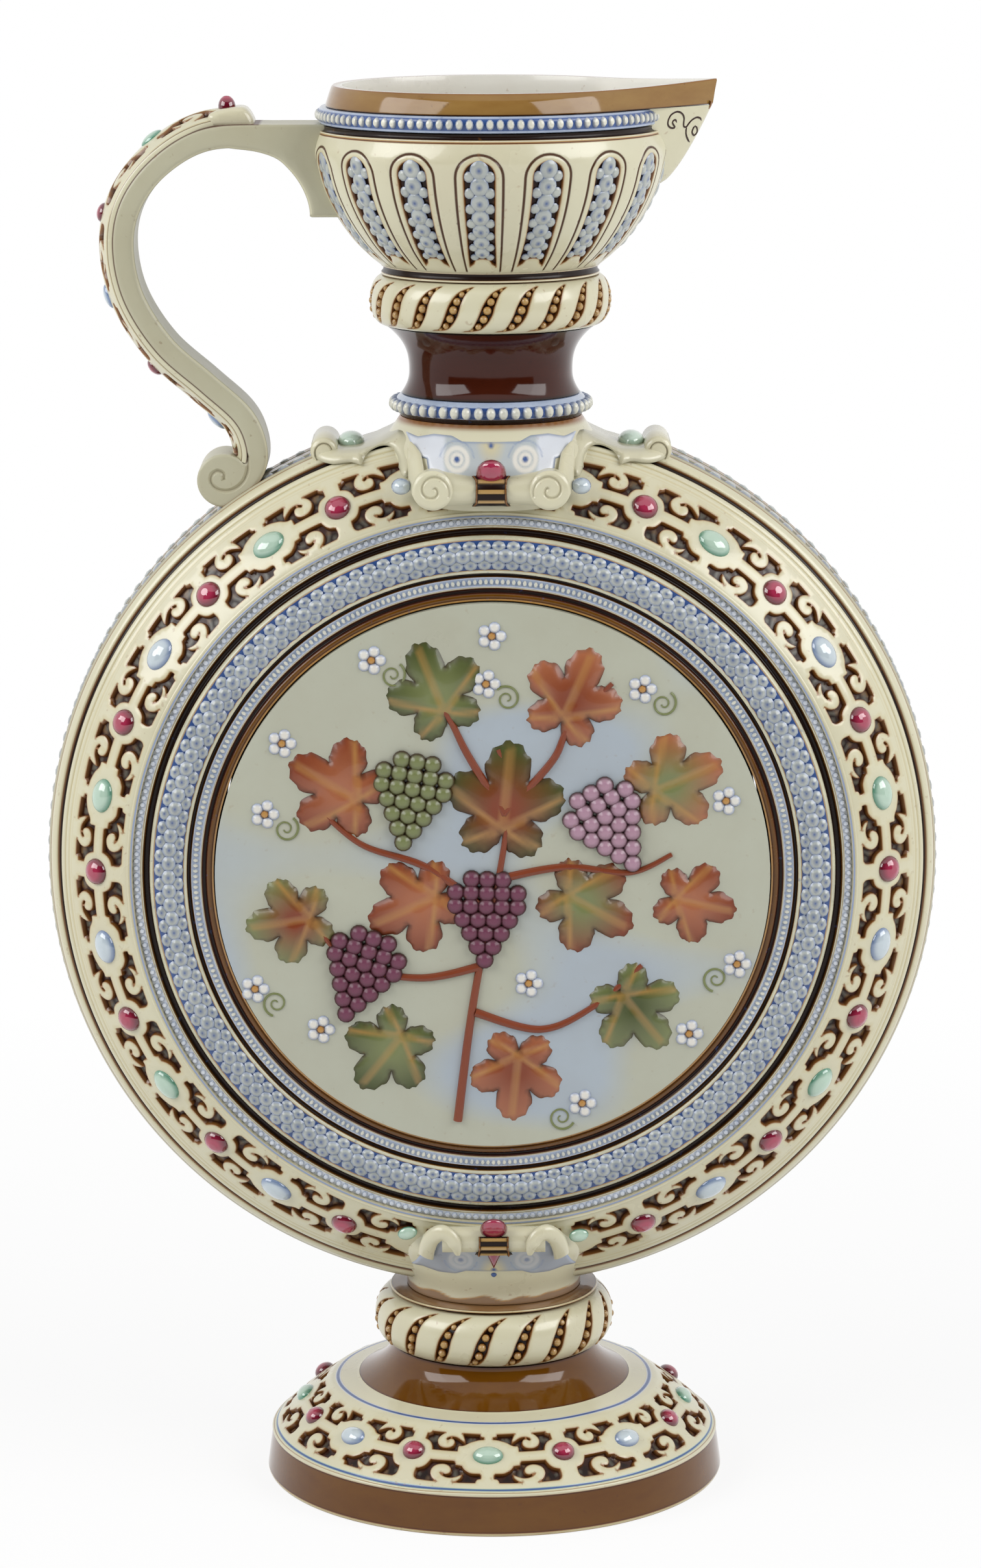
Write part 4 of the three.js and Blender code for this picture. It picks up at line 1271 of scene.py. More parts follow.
@dataclass(frozen=True)
class Flask:
    """The two carved shoulders of the flask, their jewels, and the rim band between them.

    The lining is a list of [radius, depth] behind the shoulder's skin. A stripe of the rim band
    is [distance from the band's middle, rise, tint], from the edge inwards.
    """

    depth: float = 38.4
    ring_radius: float = 121.0
    rim_half: float = 10.0
    bend: float = 1.4
    fall: float = 0.9
    jewel_radius: float = 133.6
    cells: int = 32
    steps: int = 12
    pearl_pairs: int = 156
    lining: tuple = ((120.6, 35.0), (120.6, 31.0), (135.0, 22.0), (145.0, 9.0), (148.5, 4.0), (149.7, 4.0))
    stripes: tuple = (
        (10.2, -1.6, Tint.CREAM_SHADE), (9.9, -0.9, Tint.SKY), (5.6, -0.9, Tint.SKY),
        (5.5, 0.1, Tint.CREAM_WARM), (4.6, 0.1, Tint.CREAM_WARM), (4.5, -0.5, Tint.BROWN),
        (3.4, -0.5, Tint.BROWN), (3.3, 0.0, Tint.RUSSET))
    red: Bead = Bead(9.2, 9.0, 3.1, Tint.RED, Tint.RED_DARK, 22, 7)
    green: Bead = Bead(11.8, 8.6, 2.8, Tint.GREEN, Tint.GREEN_DARK, 24, 9, shine=0.72)
    blue: Bead = Bead(11.8, 8.6, 2.8, Tint.ICE, Tint.ICE_DARK, 24, 9, shine=0.72)

    def skin(self, radius: np.ndarray) -> np.ndarray:
        """Depth of the shoulder, full at the frame's ring and falling to the rim.

        It is the rim's half width plus the rest times one less the share of the way to the rim
        raised to the bend, the whole raised to the fall.

        Args:
            radius: distances from the flask's axis.

        Returns:
            The depths.
        """
        share = np.clip((radius - self.ring_radius) / (FLASK_RADIUS - self.ring_radius), 0, 1)
        return self.rim_half + (self.depth - self.rim_half) * (1 - share**self.bend) ** self.fall

    @property
    def turning(self) -> Turning:
        """The shoulder as a turned surface."""
        radius = np.linspace(FLASK_RADIUS - 0.02, self.ring_radius, 90)
        return Turning(np.stack([radius, self.skin(radius)], 1), Side.FLASK)

    def shoulder(self) -> Shape:
        """Mouldings by the rim, the carved strapwork, and the step by the frame.

        Returns:
            The front shoulder, closed by its hidden lining.
        """
        cell, middle = Strapwork(), FLASK_RADIUS - self.jewel_radius
        top, bottom = middle - cell.high, middle - cell.low
        carved = cell.half(self.steps).wrapped(
            self.turning.place, self.cells, 360 / self.cells, middle, -1.0)
        rim = [
            Moulding(1.0, 1.9, 0.1, Tint.CREAM_SHADE, Tint.AMBER),
            Moulding(1.95, 4.3, 0.55, Tint.CREAM, Tint.CREAM_WARM, Cut.ROUND),
            Moulding(4.35, 5.75, 0.9, Tint.UMBER, Tint.AMBER, Cut.HOLLOW, 0.25),
            Moulding(5.8, 7.3, 0.45, Tint.CREAM, Tint.CREAM_WARM, Cut.ROUND),
            Moulding(7.35, 8.6, 0.22, Tint.CREAM, Tint.CREAM_WARM),
            Moulding(8.65, top, 0.0, Tint.CREAM, Tint.CREAM_WARM),
        ]
        step = [
            Moulding(bottom, 30.0, 0.3, Tint.CREAM, Tint.CREAM_WARM),
            Moulding(30.05, 30.98, 0.1, Tint.PERIWINKLE, Tint.CREAM_WARM),
        ]
        return self.turning.band(rim, carved, (top, bottom), step, self.lining, self.cells * self.steps)

    def jewels(self) -> dict[str, Shape]:
        """The ring of jewels: red ones, and between them green and pale blue ones in turn.

        Returns:
            The front's jewels of each kind.
        """
        turns = even_turns(self.cells)
        # The saddles cover the three uppermost and the three lowest seats.
        turns = turns[np.abs(turns % 180 - 90) > 12]
        pitch = 720 / self.cells
        red, rising = turns[turns % pitch == 0], turns[turns % pitch > 0]
        # The ovals alternate up each side from the spout's side, green first, and are mirrored.
        low = np.minimum(rising % 180, 180 - rising % 180)
        is_green = (np.round((low - pitch / 2) / pitch).astype(int) % 2 == 0) == (rising < 180)
        kinds = {
            "red": (self.red, red),
            "green": (self.green, rising[is_green]),
            "ice": (self.blue, rising[~is_green]),
        }
        along = FLASK_RADIUS - self.jewel_radius
        return {
            kind: bead.seated(self.turning.bearings(places, along, -0.35))
            for kind, (bead, places) in kinds.items()
        }

    def rim(self) -> Shape:
        """The flat band round the flask: stripes between two rows of pearls.

        Returns:
            The closed band, both halves alike.
        """
        turn, bed = even_turns(384), 148.6
        rows = [(-away, rise, tint) for away, rise, tint in self.stripes] + list(self.stripes[::-1])
        loops = [Side.FLASK.carried(FLASK_RADIUS - 1.0 + rise, depth, turn) for depth, rise, _ in rows]
        loops += [Side.FLASK.carried(bed, depth, turn) for depth in (9.0, -9.0)]
        tints = [tint.linear for *_, tint in rows] + [Tint.CREAM_SHADE.linear] * 2
        return Shape.grid(np.stack(loops), np.array(tints)[:, None], ring=True, tube=True).outward()

    def pearls(self) -> Shape:
        """Oblong pearls along both edges of the rim band, each a little aslant.

        Returns:
            Both rows.
        """
        pearl = Bead(4.9, 5.6, 1.5, Tint.SCALE, Tint.PERIWINKLE, 10, 3, shine=0.7)
        angle = np.radians(even_turns(self.pearl_pairs))
        out = np.stack([np.cos(angle), np.zeros(self.pearl_pairs), np.sin(angle)], -1)
        rows = []
        for side in (-1, 1):
            middle = out * (FLASK_RADIUS - 1.75) + [0, side * 7.6, FLASK_HEIGHT]
            up = np.tile([0.0, float(side), 0.0], (self.pearl_pairs, 1))
            rows.append(pearl.seated((middle, np.cross(up, out), up, out), turned=12))
        return Shape.joined(rows)

    def build(self) -> None:
        """Makes both shoulders, the jewels and the rim band."""
        shoulder, jewels = tucked(self.shoulder()), self.jewels()
        both("shoulder", shoulder, CREAM, "flask_{}", 50)
        for kind in JEWEL_SLOTS:
            both(f"{kind}_jewels", jewels[kind], ENAMEL)
        piece("rim_band_stripes", tucked(self.rim()), COBALT, ["rim_band"])
        piece("rim_pearls", tucked(self.pearls()), COBALT)


@dataclass(frozen=True)
class FrameRing:
    """The moulded ring round each medallion: beads, a groove, overlapping scales and beads.

    The line is the plain surface's [radius, depth]. A moulding is its outer and inner radius,
    its rise, its two tints, and where it isn't flat its cut and its hem.
    """

    seat: float = 35.9
    outer_beads: int = 310
    inner_beads: int = 340
    scales: int = 144
    line: tuple = ((121.0, 36.6), (118.4, 37.2), (115.2, 37.4), (113.4, 39.4), (108.6, 40.3), (103.8, 39.7),
                   (101.3, 38.9), (98.4, 39.3), (96.0, 39.9), (93.4, 40.2))
    mouldings: tuple = (
        (120.9, 118.2, 0.0, Tint.LILAC, Tint.CREAM_WARM),
        (118.1, 117.5, 0.35, Tint.CREAM, Tint.AMBER),
        (117.4, 115.1, 1.0, Tint.UMBER, Tint.RUSSET, Cut.HOLLOW),
        (115.0, 113.6, 0.6, Tint.CREAM, Tint.HONEY, Cut.ROUND, 0.25),
        (113.5, 103.9, 0.0, Tint.BLUE, Tint.BLUE),
        (103.8, 102.6, 0.6, Tint.CREAM, Tint.HONEY, Cut.ROUND, 0.25),
        (102.5, 101.2, 0.8, Tint.UMBER, Tint.RUSSET, Cut.HOLLOW),
        (101.1, 98.1, 0.0, Tint.SKY, Tint.LILAC),
        (98.0, 97.6, 0.2, Tint.CREAM, Tint.AMBER),
        (97.5, 96.0, 0.8, Tint.UMBER, Tint.BROWN, Cut.HOLLOW),
        (95.9, 94.2, 0.35, Tint.RUSSET, Tint.BROWN, Cut.ROUND, 0.35),
        (94.1, 93.5, 0.0, Tint.HONEY, Tint.AMBER),
    )

    @property
    def turning(self) -> Turning:
        """The ring's plain surface, by radius and depth."""
        return Turning(smooth_line(self.line, 80), Side.FLASK)

    def body(self) -> Shape:
        """The rings of the frame and the flat bed that it is luted to."""
        rings = [
            Moulding(FLASK_RADIUS - outer, FLASK_RADIUS - inner, *rest)
            for outer, inner, *rest in self.mouldings
        ]
        return self.turning.body(rings, [(93.4, self.seat), (120.7, self.seat)], 360, step=0.9)

    def ornaments(self) -> Shape:
        """Two rows of small beads and three rows of scales with blue eyes.

        Returns:
            All rows as one shape.
        """
        bead = Bead(2.1, 2.5, 1.0, Tint.LILAC, Tint.SKY, 6, 3, shine=0.75)
        small = Bead(1.65, 2.4, 0.95, Tint.IVORY, Tint.SKY, 6, 3, shine=0.75)
        coin = Bead(5.6, 5.0, 1.4, Tint.SCALE, Tint.PERIWINKLE, 10, 3, eye=Tint.BLUE, shine=0.85)
        side = Bead(4.9, 4.1, 1.15, Tint.SCALE, Tint.PERIWINKLE, 8, 3, eye=Tint.BLUE, shine=0.85)
        turn, half = even_turns(self.scales), 180 / self.scales
        rows = [
            (bead, even_turns(self.outer_beads), 119.6, -0.1),
            (small, even_turns(self.inner_beads), 99.6, -0.1),
            (side, turn + half, 111.6, -0.1), (side, turn + half, 105.6, -0.1), (coin, turn, 108.6, 0.25),
        ]
        return Shape.joined([
            kind.seated(self.turning.bearings(turns, FLASK_RADIUS - radius, rise))
            for kind, turns, radius, rise in rows
        ])

    def build(self) -> None:
        """Makes both frames."""
        body, ornaments = self.body(), self.ornaments()
        both("frame_rings", body, COBALT, "{}_frame", 50)
        both("frame_scales", ornaments, COBALT)


@dataclass(frozen=True)
class Gadroons:
    """A knop with slanting S-shaped slots, each with a row of little clay beads in it.

    The side has the end radius at its bottom and its top. The slot's line is a list of
    [turn, share of the way up, half width], the first slot starts at a turn, the edge is left
    plain below and above them, and a bead is its share of the way along the line and its size.
    """

    bottom: float
    height: float
    end: float
    radius: float
    bore: float
    slots: int
    first: float
    line: tuple
    steps: int = 12
    edge: float = 2.2
    beads: tuple = ((0.13, 1.5), (0.26, 2.1), (0.39, 2.5), (0.52, 2.6), (0.65, 2.4), (0.78, 1.9), (0.89, 1.3))

    @property
    def turning(self) -> Turning:
        """The side: its radius swells by the root of one less a power of the way from the middle.

        Returns:
            The turned surface, from the bottom up.
        """
        share = np.linspace(0, 1, 70)
        swell = np.sqrt(np.maximum(0, 1 - np.abs(2 * share - 1) ** 2.2))
        radius = self.end + (self.radius - self.end) * swell
        return Turning(np.stack([radius, self.bottom + self.height * share], 1))

    def build(self, name: str, node: str) -> None:
        """Makes the knop and its beads.

        Each slot is cut in a cell that leans with it, so that the slot's outline fits the
        cell; the shear is the lean in degrees for one millimetre of height.

        Args:
            name: the knop's name.
            node: the CAD node that it stands for.
        """
        turning, pitch, line = self.turning, 360 / self.slots, np.array(self.line, float)
        total, one = turning.path[-1], math.radians(1) * self.radius
        low, high = self.edge, total - self.edge
        line[:, 1] = low + 0.4 + line[:, 1] * (high - low - 0.8)
        middle = line[:, 1].mean()
        shear = (line[-1, 0] - line[0, 0]) / (line[-1, 1] - line[0, 1]) * 0.85
        fine = smooth_line(line, 40)
        leaning = fine[:, 0] - shear * (fine[:, 1] - middle)
        across = leaning * one
        across += pitch * one / 2 - (across.min() + across.max()) / 2
        edges = [np.stack([across + side * fine[:, 2], fine[:, 1] - middle], 1) for side in (1, -1)]
        cut = evenly(np.concatenate([edges[0], edges[1][::-1], edges[0][:1]]), 0.45)[:-1]
        rule = Carving(1.5, 0.35, 0.6, 1.3, stipple=False)
        relief = Relief.carved((0, low - middle), (pitch * one, high - middle), [cut], self.steps, rule)
        cells = relief.wrapped(turning.place, self.slots, pitch, middle, 1.0, self.first, False, shear)
        cells = self.squared(cells, turning, relief.places[:, 1] + middle, (low, high))
        lower = [
            Moulding(0.0, 0.8, 0.0, Tint.CREAM_WARM, Tint.AMBER),
            Moulding(0.85, low, 0.0, Tint.CREAM, Tint.CREAM),
        ]
        upper = [
            Moulding(high, total - 0.85, 0.0, Tint.CREAM, Tint.CREAM),
            Moulding(total - 0.8, total, 0.0, Tint.CREAM_WARM, Tint.AMBER),
        ]
        bore = [(self.bore, self.bottom + self.height), (self.bore, self.bottom)]
        shape = turning.band(lower, cells, (low, high), upper, bore, self.slots * self.steps)
        piece(name, shape, CREAM, [node], 50)
        bead = Bead(1.0, 1.0, 0.5, Tint.TAN, Tint.AMBER, 10, 4, shine=0.75)
        start = self.first + (across / one - leaning)[0]
        rows = []
        for share, size in self.beads:
            spot = fine[round(share * 39)]
            seats = turning.bearings(start + spot[0] + np.arange(self.slots) * pitch, spot[1], -0.95)
            rows.append(bead.seated(seats, sizes=np.full(self.slots, size * 1.15)))
        piece(f"{name}_beads", Shape.joined(rows), CREAM)

    def squared(self, cells: Shape, turning: Turning, heights: np.ndarray,
                borders: tuple[float, float]) -> Shape:
        """The slanted cells with their level borders slid to the knop's own columns.

        Args:
            cells: all cells, one after the other.
            turning: the knop's side.
            heights: path length of each point of one cell.
            borders: path lengths of the two borders.

        Returns:
            The cells with their borders moved.
        """
        points = cells.points.copy()
        columns = self.slots * self.steps
        for place in borders:
            ring = turning.place(even_turns(columns), np.array(place), np.array(0.0))
            border = np.tile(np.abs(heights - place) < 1e-4, self.slots)
            angle = np.degrees(np.arctan2(points[border, 0], -points[border, 1]))
            points[border] = ring[np.round(angle / (360 / columns)).astype(int) % columns]
        return Shape(points, cells.faces, cells.tints)


@dataclass(frozen=True)
class Foot:
    """Plinth, carved slope and stem, the gadrooned knop and the saucer over it.

    The corners are [radius, height] of the hidden lining, from the stem's top to the plinth.
    """

    jewel_path: float = 29.4
    red_turn: float = -24.4
    steps: int = 16
    cells: int = 16
    stretch: float = 1.2
    corners: tuple = ((24, 45.3), (24, 31), (40, 27.3), (47.0, 32.0), (69, 10.3), (76, 13), (71.8, 0))

    @property
    def turning(self) -> Turning:
        """The foot's outside: a plinth, a slope that bulges by a sine, a step and a waisted stem.

        Returns:
            The turned surface, from the floor up.
        """
        share = np.linspace(0, 1, 24)[:, None]
        slope = np.hstack([77.5 - 20.5 * share + 1.2 * np.sin(math.pi * share), 14 + 17 * share])
        stem = np.hstack([36 + 11.5 * (1 - share) ** 2.2, 33 + 12.3 * share])
        return Turning(np.concatenate([[[79.0, 0], [79.3, 0.6]], slope, [[55, 31.6]], stem]))

    def ring(self) -> None:
        """Makes the plinth, the carved slope and the stem, each closed by the hidden lining."""
        turning, cell, total = self.turning, Strapwork(), self.turning.path[-1]
        bore, neck, bend, ledge, heel, toe, sole = self.corners
        plinth = turning.body([
            Moulding(0.0, 1.2, 0.0, Tint.CREAM_WARM, Tint.AMBER),
            Moulding(1.3, 13.4, 0.0, Tint.RUSSET, Tint.BROWN, hem=0.5),
        ], [toe, heel, sole], 192)
        piece("foot_plinth", plinth, TAUPE, ["foot"], 30)
        low, high = self.jewel_path + self.stretch * cell.low, self.jewel_path + self.stretch * cell.high
        # The cells' borders start at the red jewel's turn, a whole number of columns from zero.
        cells = cell.half(self.steps).wrapped(
            turning.place, self.cells, 360 / self.cells, self.jewel_path, self.stretch, self.red_turn)
        lower = [
            Moulding(13.45, 14.9, 0.3, Tint.CREAM, Tint.AMBER, Cut.ROUND),
            Moulding(14.95, 15.5, 0.1, Tint.CREAM, Tint.CREAM_WARM),
            Moulding(15.55, 16.6, 0.15, Tint.BLUE, Tint.GREEN, Cut.HOLLOW),
        ]
        upper = [
            Moulding(high, 42.6, 0.0, Tint.CREAM, Tint.CREAM),
            Moulding(42.65, 44.3, 0.0, Tint.BLUE, Tint.LILAC, hem=0.6),
            Moulding(44.4, 51.0, 0.0, Tint.CREAM, Tint.CREAM_WARM),
        ]
        slope = turning.band(
            lower, cells, (low, high), upper, [ledge, bend, heel, toe], self.cells * self.steps, uneven=0.18)
        piece("foot_slope", slope, CREAM, crease=50)
        stem = turning.body(
            [Moulding(51.05, total, 0.0, Tint.RUSSET, Tint.BROWN, hem=0.8)], [bore, neck, bend, ledge], 160)
        piece("foot_stem", stem, TAUPE)

    def jewels(self) -> None:
        """Makes the slope's jewels: red ones, and between them green and pale blue ones in turn."""
        flask, pair = Flask(), 720 / self.cells
        spots = {
            "red": (flask.red, self.red_turn + np.arange(8) * pair),
            "green": (flask.green, self.red_turn + pair / 2 + np.arange(4) * 2 * pair),
            "ice": (flask.blue, self.red_turn + pair * 1.5 + np.arange(4) * 2 * pair),
        }
        for kind, (bead, turns) in spots.items():
            small = replace(
                bead, across=bead.across * 0.88, along=bead.along * 0.82, height=bead.height * 0.95)
            seats = self.turning.bearings(turns, self.jewel_path, -0.3)
            piece(f"foot_{kind}_jewels", small.seated(seats), ENAMEL)

    def build(self) -> None:
        """Makes the foot, its jewels, the knop and the saucer."""
        self.ring()
        self.jewels()
        slot_line = (
            (0, 0, 0.5), (4, 0.07, 1.6), (7.5, 0.3, 2.3), (10, 0.58, 2.1), (14, 0.83, 1.4), (20.5, 1, 0.35))
        Gadroons(45.6, 18.3, 34.5, 41.4, 24, 19, 4.0, slot_line).build("foot_gadroons", "foot_knop")
        saucer = Turning(np.array([[34, 64.2], [36.1, 64.75], [35.8, 65.3], [33.0, 65.7], [26, 65.7]]))
        shape = saucer.body([
            Moulding(0.0, 2.2, 0.0, Tint.TAUPE, Tint.BROWN),
            Moulding(2.25, 3.1, 0.1, Tint.CREAM_WARM, Tint.AMBER),
            Moulding(3.2, saucer.path[-1], 0.0, Tint.TAUPE, Tint.BROWN),
        ], [(26, 64.2)], 128)
        piece("foot_saucer_glazed", shape, TAUPE, ["foot_saucer"])


def drop(radius: float, reach: float, height: float, lift: float = 0.0) -> np.ndarray:
    """A level loop shaped like a drop: a circle whose spout side runs by two tangents to the tip.

    Args:
        radius: the circle's radius.
        reach: distance of the tip from the circle's middle.
        height: the loop's height.
        lift: how far the tip is raised, the other points as far as they stand out of the circle.

    Returns:
        The loop's points.
    """
    angle = np.arange(128) * 2 * math.pi / 128
    tangent = math.acos(radius / max(reach, radius * 1.0001))
    turn = np.abs(np.arctan2(np.sin(angle), np.cos(angle)))
    out = radius * np.where(turn < tangent, 1 / np.cos(tangent - np.minimum(turn, tangent)), 1.0)
    rise = height + lift * np.clip((out - radius) / max(reach - radius, 0.01), 0, 1)
    return np.stack([out * np.cos(angle), out * np.sin(angle), rise], 1)


def arched(width: float, foot: float, top: float, bottom: float) -> np.ndarray:
    """The line of an arched panel: one side, the arch and the other side, about its middle.

    Args:
        width: half the panel's width under the arch.
        foot: half its width at the bottom.
        top: the arch's height.
        bottom: the height where both sides start.

    Returns:
        The open line's points.
    """
    angle = np.radians(np.linspace(0, 180, 15))
    rise = width * 1.05
    crown = np.stack([width * np.cos(angle), top - rise + rise * np.sin(angle)], 1)
    side = np.array([[foot, bottom], [width * 1.03, bottom + 0.35 * (top - bottom)]])
    right = evenly(np.concatenate([side, crown]), 1.0)
    left = evenly(np.concatenate([crown[-1:], side[::-1] * [-1, 1]]), 1.0)
    return np.concatenate([right, left[1:]])


@dataclass(frozen=True)
class Mouth:
    """Collar, neck and knop, the panelled bowl, its pearled band, the lip and the spout's apron.

    The panels are drawn with so many millimetres to a degree, and cut between the two path
    lengths of the span. A husk of a panel is its path length and its size. The keel is the
    apron's root on the bowl, its top, its height and the roundness of its edge. The strokes are
    [towards the spout, height] lines of its scrolls.
    """

    panels: int = 16
    first_panel: float = -3.5
    steps: int = 14
    degree: float = 0.95
    span: tuple[float, float] = (3.6, 53.6)
    husks: tuple = (
        (45.9, 1.0), (40.2, 1.0), (34.4, 0.98), (28.8, 0.95), (23.6, 0.9), (18.6, 0.86), (13.9, 0.8))
    keel: tuple[float, float, float, float] = (36.6, 472.9, 26.0, 1.4)
    strokes: tuple = (
        ((61.9, 467.6), (61.6, 468.5), (60.9, 468.6), (60.5, 467.6), (61.3, 466.1), (60.0, 466.0),
         (59.0, 467.0), (59.0, 468.6), (60.0, 470.5), (61.9, 471.4), (63.6, 470.7), (64.4, 469.2),
         (64.3, 467.3), (64.4, 466.2), (65.2, 466.0), (66.0, 467.0), (67.1, 468.2), (68.7, 469.0),
         (70.0, 468.6), (70.4, 467.7)),
        ((68.4, 466.2), (67.7, 465.4), (67.3, 464.0), (68.0, 462.9), (69.0, 464.0), (68.9, 465.4),
         (68.2, 466.1)),
        ((65.3, 466.0), (65.2, 463.7), (65.8, 461.8), (66.5, 460.6)))

    def collar(self) -> None:
        """Makes the pearled collar under the neck."""
        collar = Turning(np.array([[30.6, 369.9], [32.8, 372.7], [32.8, 374.5], [30.1, 377.0]]))
        band = collar.body([
            # The lowest band is dark umber as a painted shadow where the collar overhangs the saddle.
            Moulding(0.0, 1.9, 0.0, Tint.UMBER, Tint.BROWN),
            Moulding(1.95, 2.35, 0.1, Tint.PERIWINKLE, Tint.UMBER),
            Moulding(2.4, 6.6, 0.0, Tint.BLUE, Tint.BLUE),
            Moulding(6.7, collar.path[-1], 0.1, Tint.SKY, Tint.PERIWINKLE),
        ], [(21, 377.0), (21, 369.9)], 176)
        piece("neck_collar_band", band, COBALT, ["neck_collar"])
        pearl = Bead(3.3, 4.4, 1.9, Tint.IVORY, Tint.PERIWINKLE, 14, 5, shine=0.8)
        pearls = pearl.seated(collar.bearings(even_turns(50), 4.5, -0.25))
        piece("neck_collar_pearls", pearls, COBALT)

    def neck(self) -> None:
        """Makes the glossy neck, waisted by powers of the height, and the upper knop."""
        low, high = np.linspace(0, 1, 16)[:, None], np.linspace(0, 1, 30)[1:, None]
        neck = Turning(np.concatenate([
            np.hstack([27.5 + 2.5 * (1 - low) ** 2, 377.3 + 7 * low]),
            np.hstack([27.5 + 7.9 * high**2.7, 384.3 + 15.8 * high])]))
        glaze = Moulding(0.0, neck.path[-1], 0.0, Tint.NECK, Tint.UMBER, hem=1.2)
        shape = neck.body([glaze], [(21, 400.1), (21, 377.3)], 160)
        piece("neck_glazed", shape, BROWN, ["neck"])
        slot_line = (
            (0, 0, 0.5), (5.5, 0.06, 1.5), (9.8, 0.32, 2.1), (12.4, 0.62, 1.9), (15.8, 0.87, 1.3),
            (20.4, 1, 0.3))
        Gadroons(400.4, 16.6, 35.6, 40.5, 21, 22, 6.0, slot_line).build("neck_gadroons", "neck_knop")

    @property
    def bowl(self) -> Turning:
        """The bowl's outside: a short groove and a full curve to the widest place and in again.

        Returns:
            The turned surface, from the bottom up.
        """
        corners = (
            (0, 0.06), (0.19, 0.13), (0.43, 0.24), (0.68, 0.4), (0.87, 0.57), (0.98, 0.74), (1, 0.85),
            (0.884, 1))
        curve = smooth_line([(36.6 + 22.4 * out, 417.3 + 49.9 * up) for out, up in corners], 90)
        return Turning(np.concatenate([[[36.6, 417.3]], curve]))

    def panelled(self) -> Shape:
        """The bowl with its arched panels, each cut in inside an engraved arch.

        Returns:
            The closed bowl.
        """
        bowl, pitch, one, (low, high) = self.bowl, 360 / self.panels, self.degree, self.span
        half, total = pitch / 2 * one, bowl.path[-1]
        tongue = [one, 1] * np.array([
            [-5.9, 7.4], [-4.2, 8.6], [-3.0, 10.9], [0, 11.4], [3.0, 10.9], [4.2, 8.6], [5.9, 7.4]])
        side = arched(5.1 * one, 6.2 * one, 48.8, 7.0)
        cut = evenly(np.concatenate([side, tongue, side[:1]]), 0.6)[:-1] + [half, 0]
        line = arched(7.7 * one, 8.3 * one, 51.0, 4.4) + [half, 0]
        rule = Carving(1.0, 0.4, 0.5, 1.25, stipple=False)
        relief = Relief.carved((0, low), (2 * half, high), [cut], self.steps, rule, [line])
        cells = relief.wrapped(bowl.place, self.panels, pitch, 0.0, 1.0, 0.0, False)
        lower = [
            Moulding(0.0, 0.7, 0.0, Tint.CREAM, Tint.AMBER),
            Moulding(0.75, 2.75, 0.9, Tint.UMBER, Tint.UMBER, Cut.HOLLOW),
            Moulding(2.8, low, 0.0, Tint.CREAM, Tint.AMBER),
        ]
        upper = [
            Moulding(high, 54.4, 0.0, Tint.CREAM, Tint.CREAM),
            Moulding(54.5, 55.0, 0.15, Tint.BROWN, Tint.HONEY, Cut.HOLLOW, 0.15),
            Moulding(55.1, total - 2.0, 0.25, Tint.CREAM, Tint.HONEY, Cut.ROUND),
            Moulding(total - 1.95, total, 0.7, Tint.UMBER, Tint.UMBER, Cut.HOLLOW),
        ]
        lining = [(50.8, 467.2), (53.0, 457.0), (48.6, 447.0), (38.5, 435.0), (27.0, 422.0), (22.0, 417.3)]
        shape = bowl.band(lower, cells, (low, high), upper, lining, self.panels * self.steps)
        return Shape(turned_by(shape.points, self.first_panel - pitch / 2), shape.faces, shape.tints)

    def husked(self) -> Shape:
        """A chain of husks down each panel, each a coin with two lobes.

        Returns:
            All husks as one shape.
        """
        bowl, turns = self.bowl, self.first_panel + np.arange(self.panels) * (360 / self.panels)
        coin = Bead(6.2, 6.8, 1.1, Tint.SCALE, Tint.PERIWINKLE, 14, 4, eye=Tint.BLUE, shine=0.8)
        lobe = Bead(3.7, 3.9, 0.85, Tint.SCALE, Tint.PERIWINKLE, 10, 4, shine=0.8)
        rows = []
        for along, size in self.husks:
            large, small = (
                replace(bead, across=bead.across * size, along=bead.along * size) for bead in (coin, lobe))
            rows.append(large.seated(bowl.bearings(turns, along, -0.7)))
            for way in (-1, 1):
                rows.append(small.seated(bowl.bearings(turns + way * 3.35, along - 2.3, -0.75)))
        return Shape.joined(rows)

    def band(self) -> None:
        """Makes the pearled band over the bowl."""
        band = Turning(np.array([[56.6, 467.5], [57.3, 469.1], [57.3, 471.8], [56.2, 472.9]]))
        total = band.path[-1]
        shape = band.body([
            Moulding(0.0, 0.9, 0.15, Tint.SKY, Tint.PERIWINKLE),
            Moulding(1.0, total - 1.0, 0.0, Tint.BLUE, Tint.BLUE),
            Moulding(total - 0.9, total, 0.15, Tint.SKY, Tint.PERIWINKLE),
        ], [(50.2, 472.9), (50.2, 467.5)], 180)
        piece("mouth_band_ground", shape, COBALT, ["mouth_band"])
        pearl = Bead(2.75, 3.7, 1.5, Tint.IVORY, Tint.PERIWINKLE, 10, 3, shine=0.8)
        pearls = pearl.seated(band.bearings(even_turns(108), total / 2, -0.35))
        piece("mouth_pearls", pearls, COBALT)

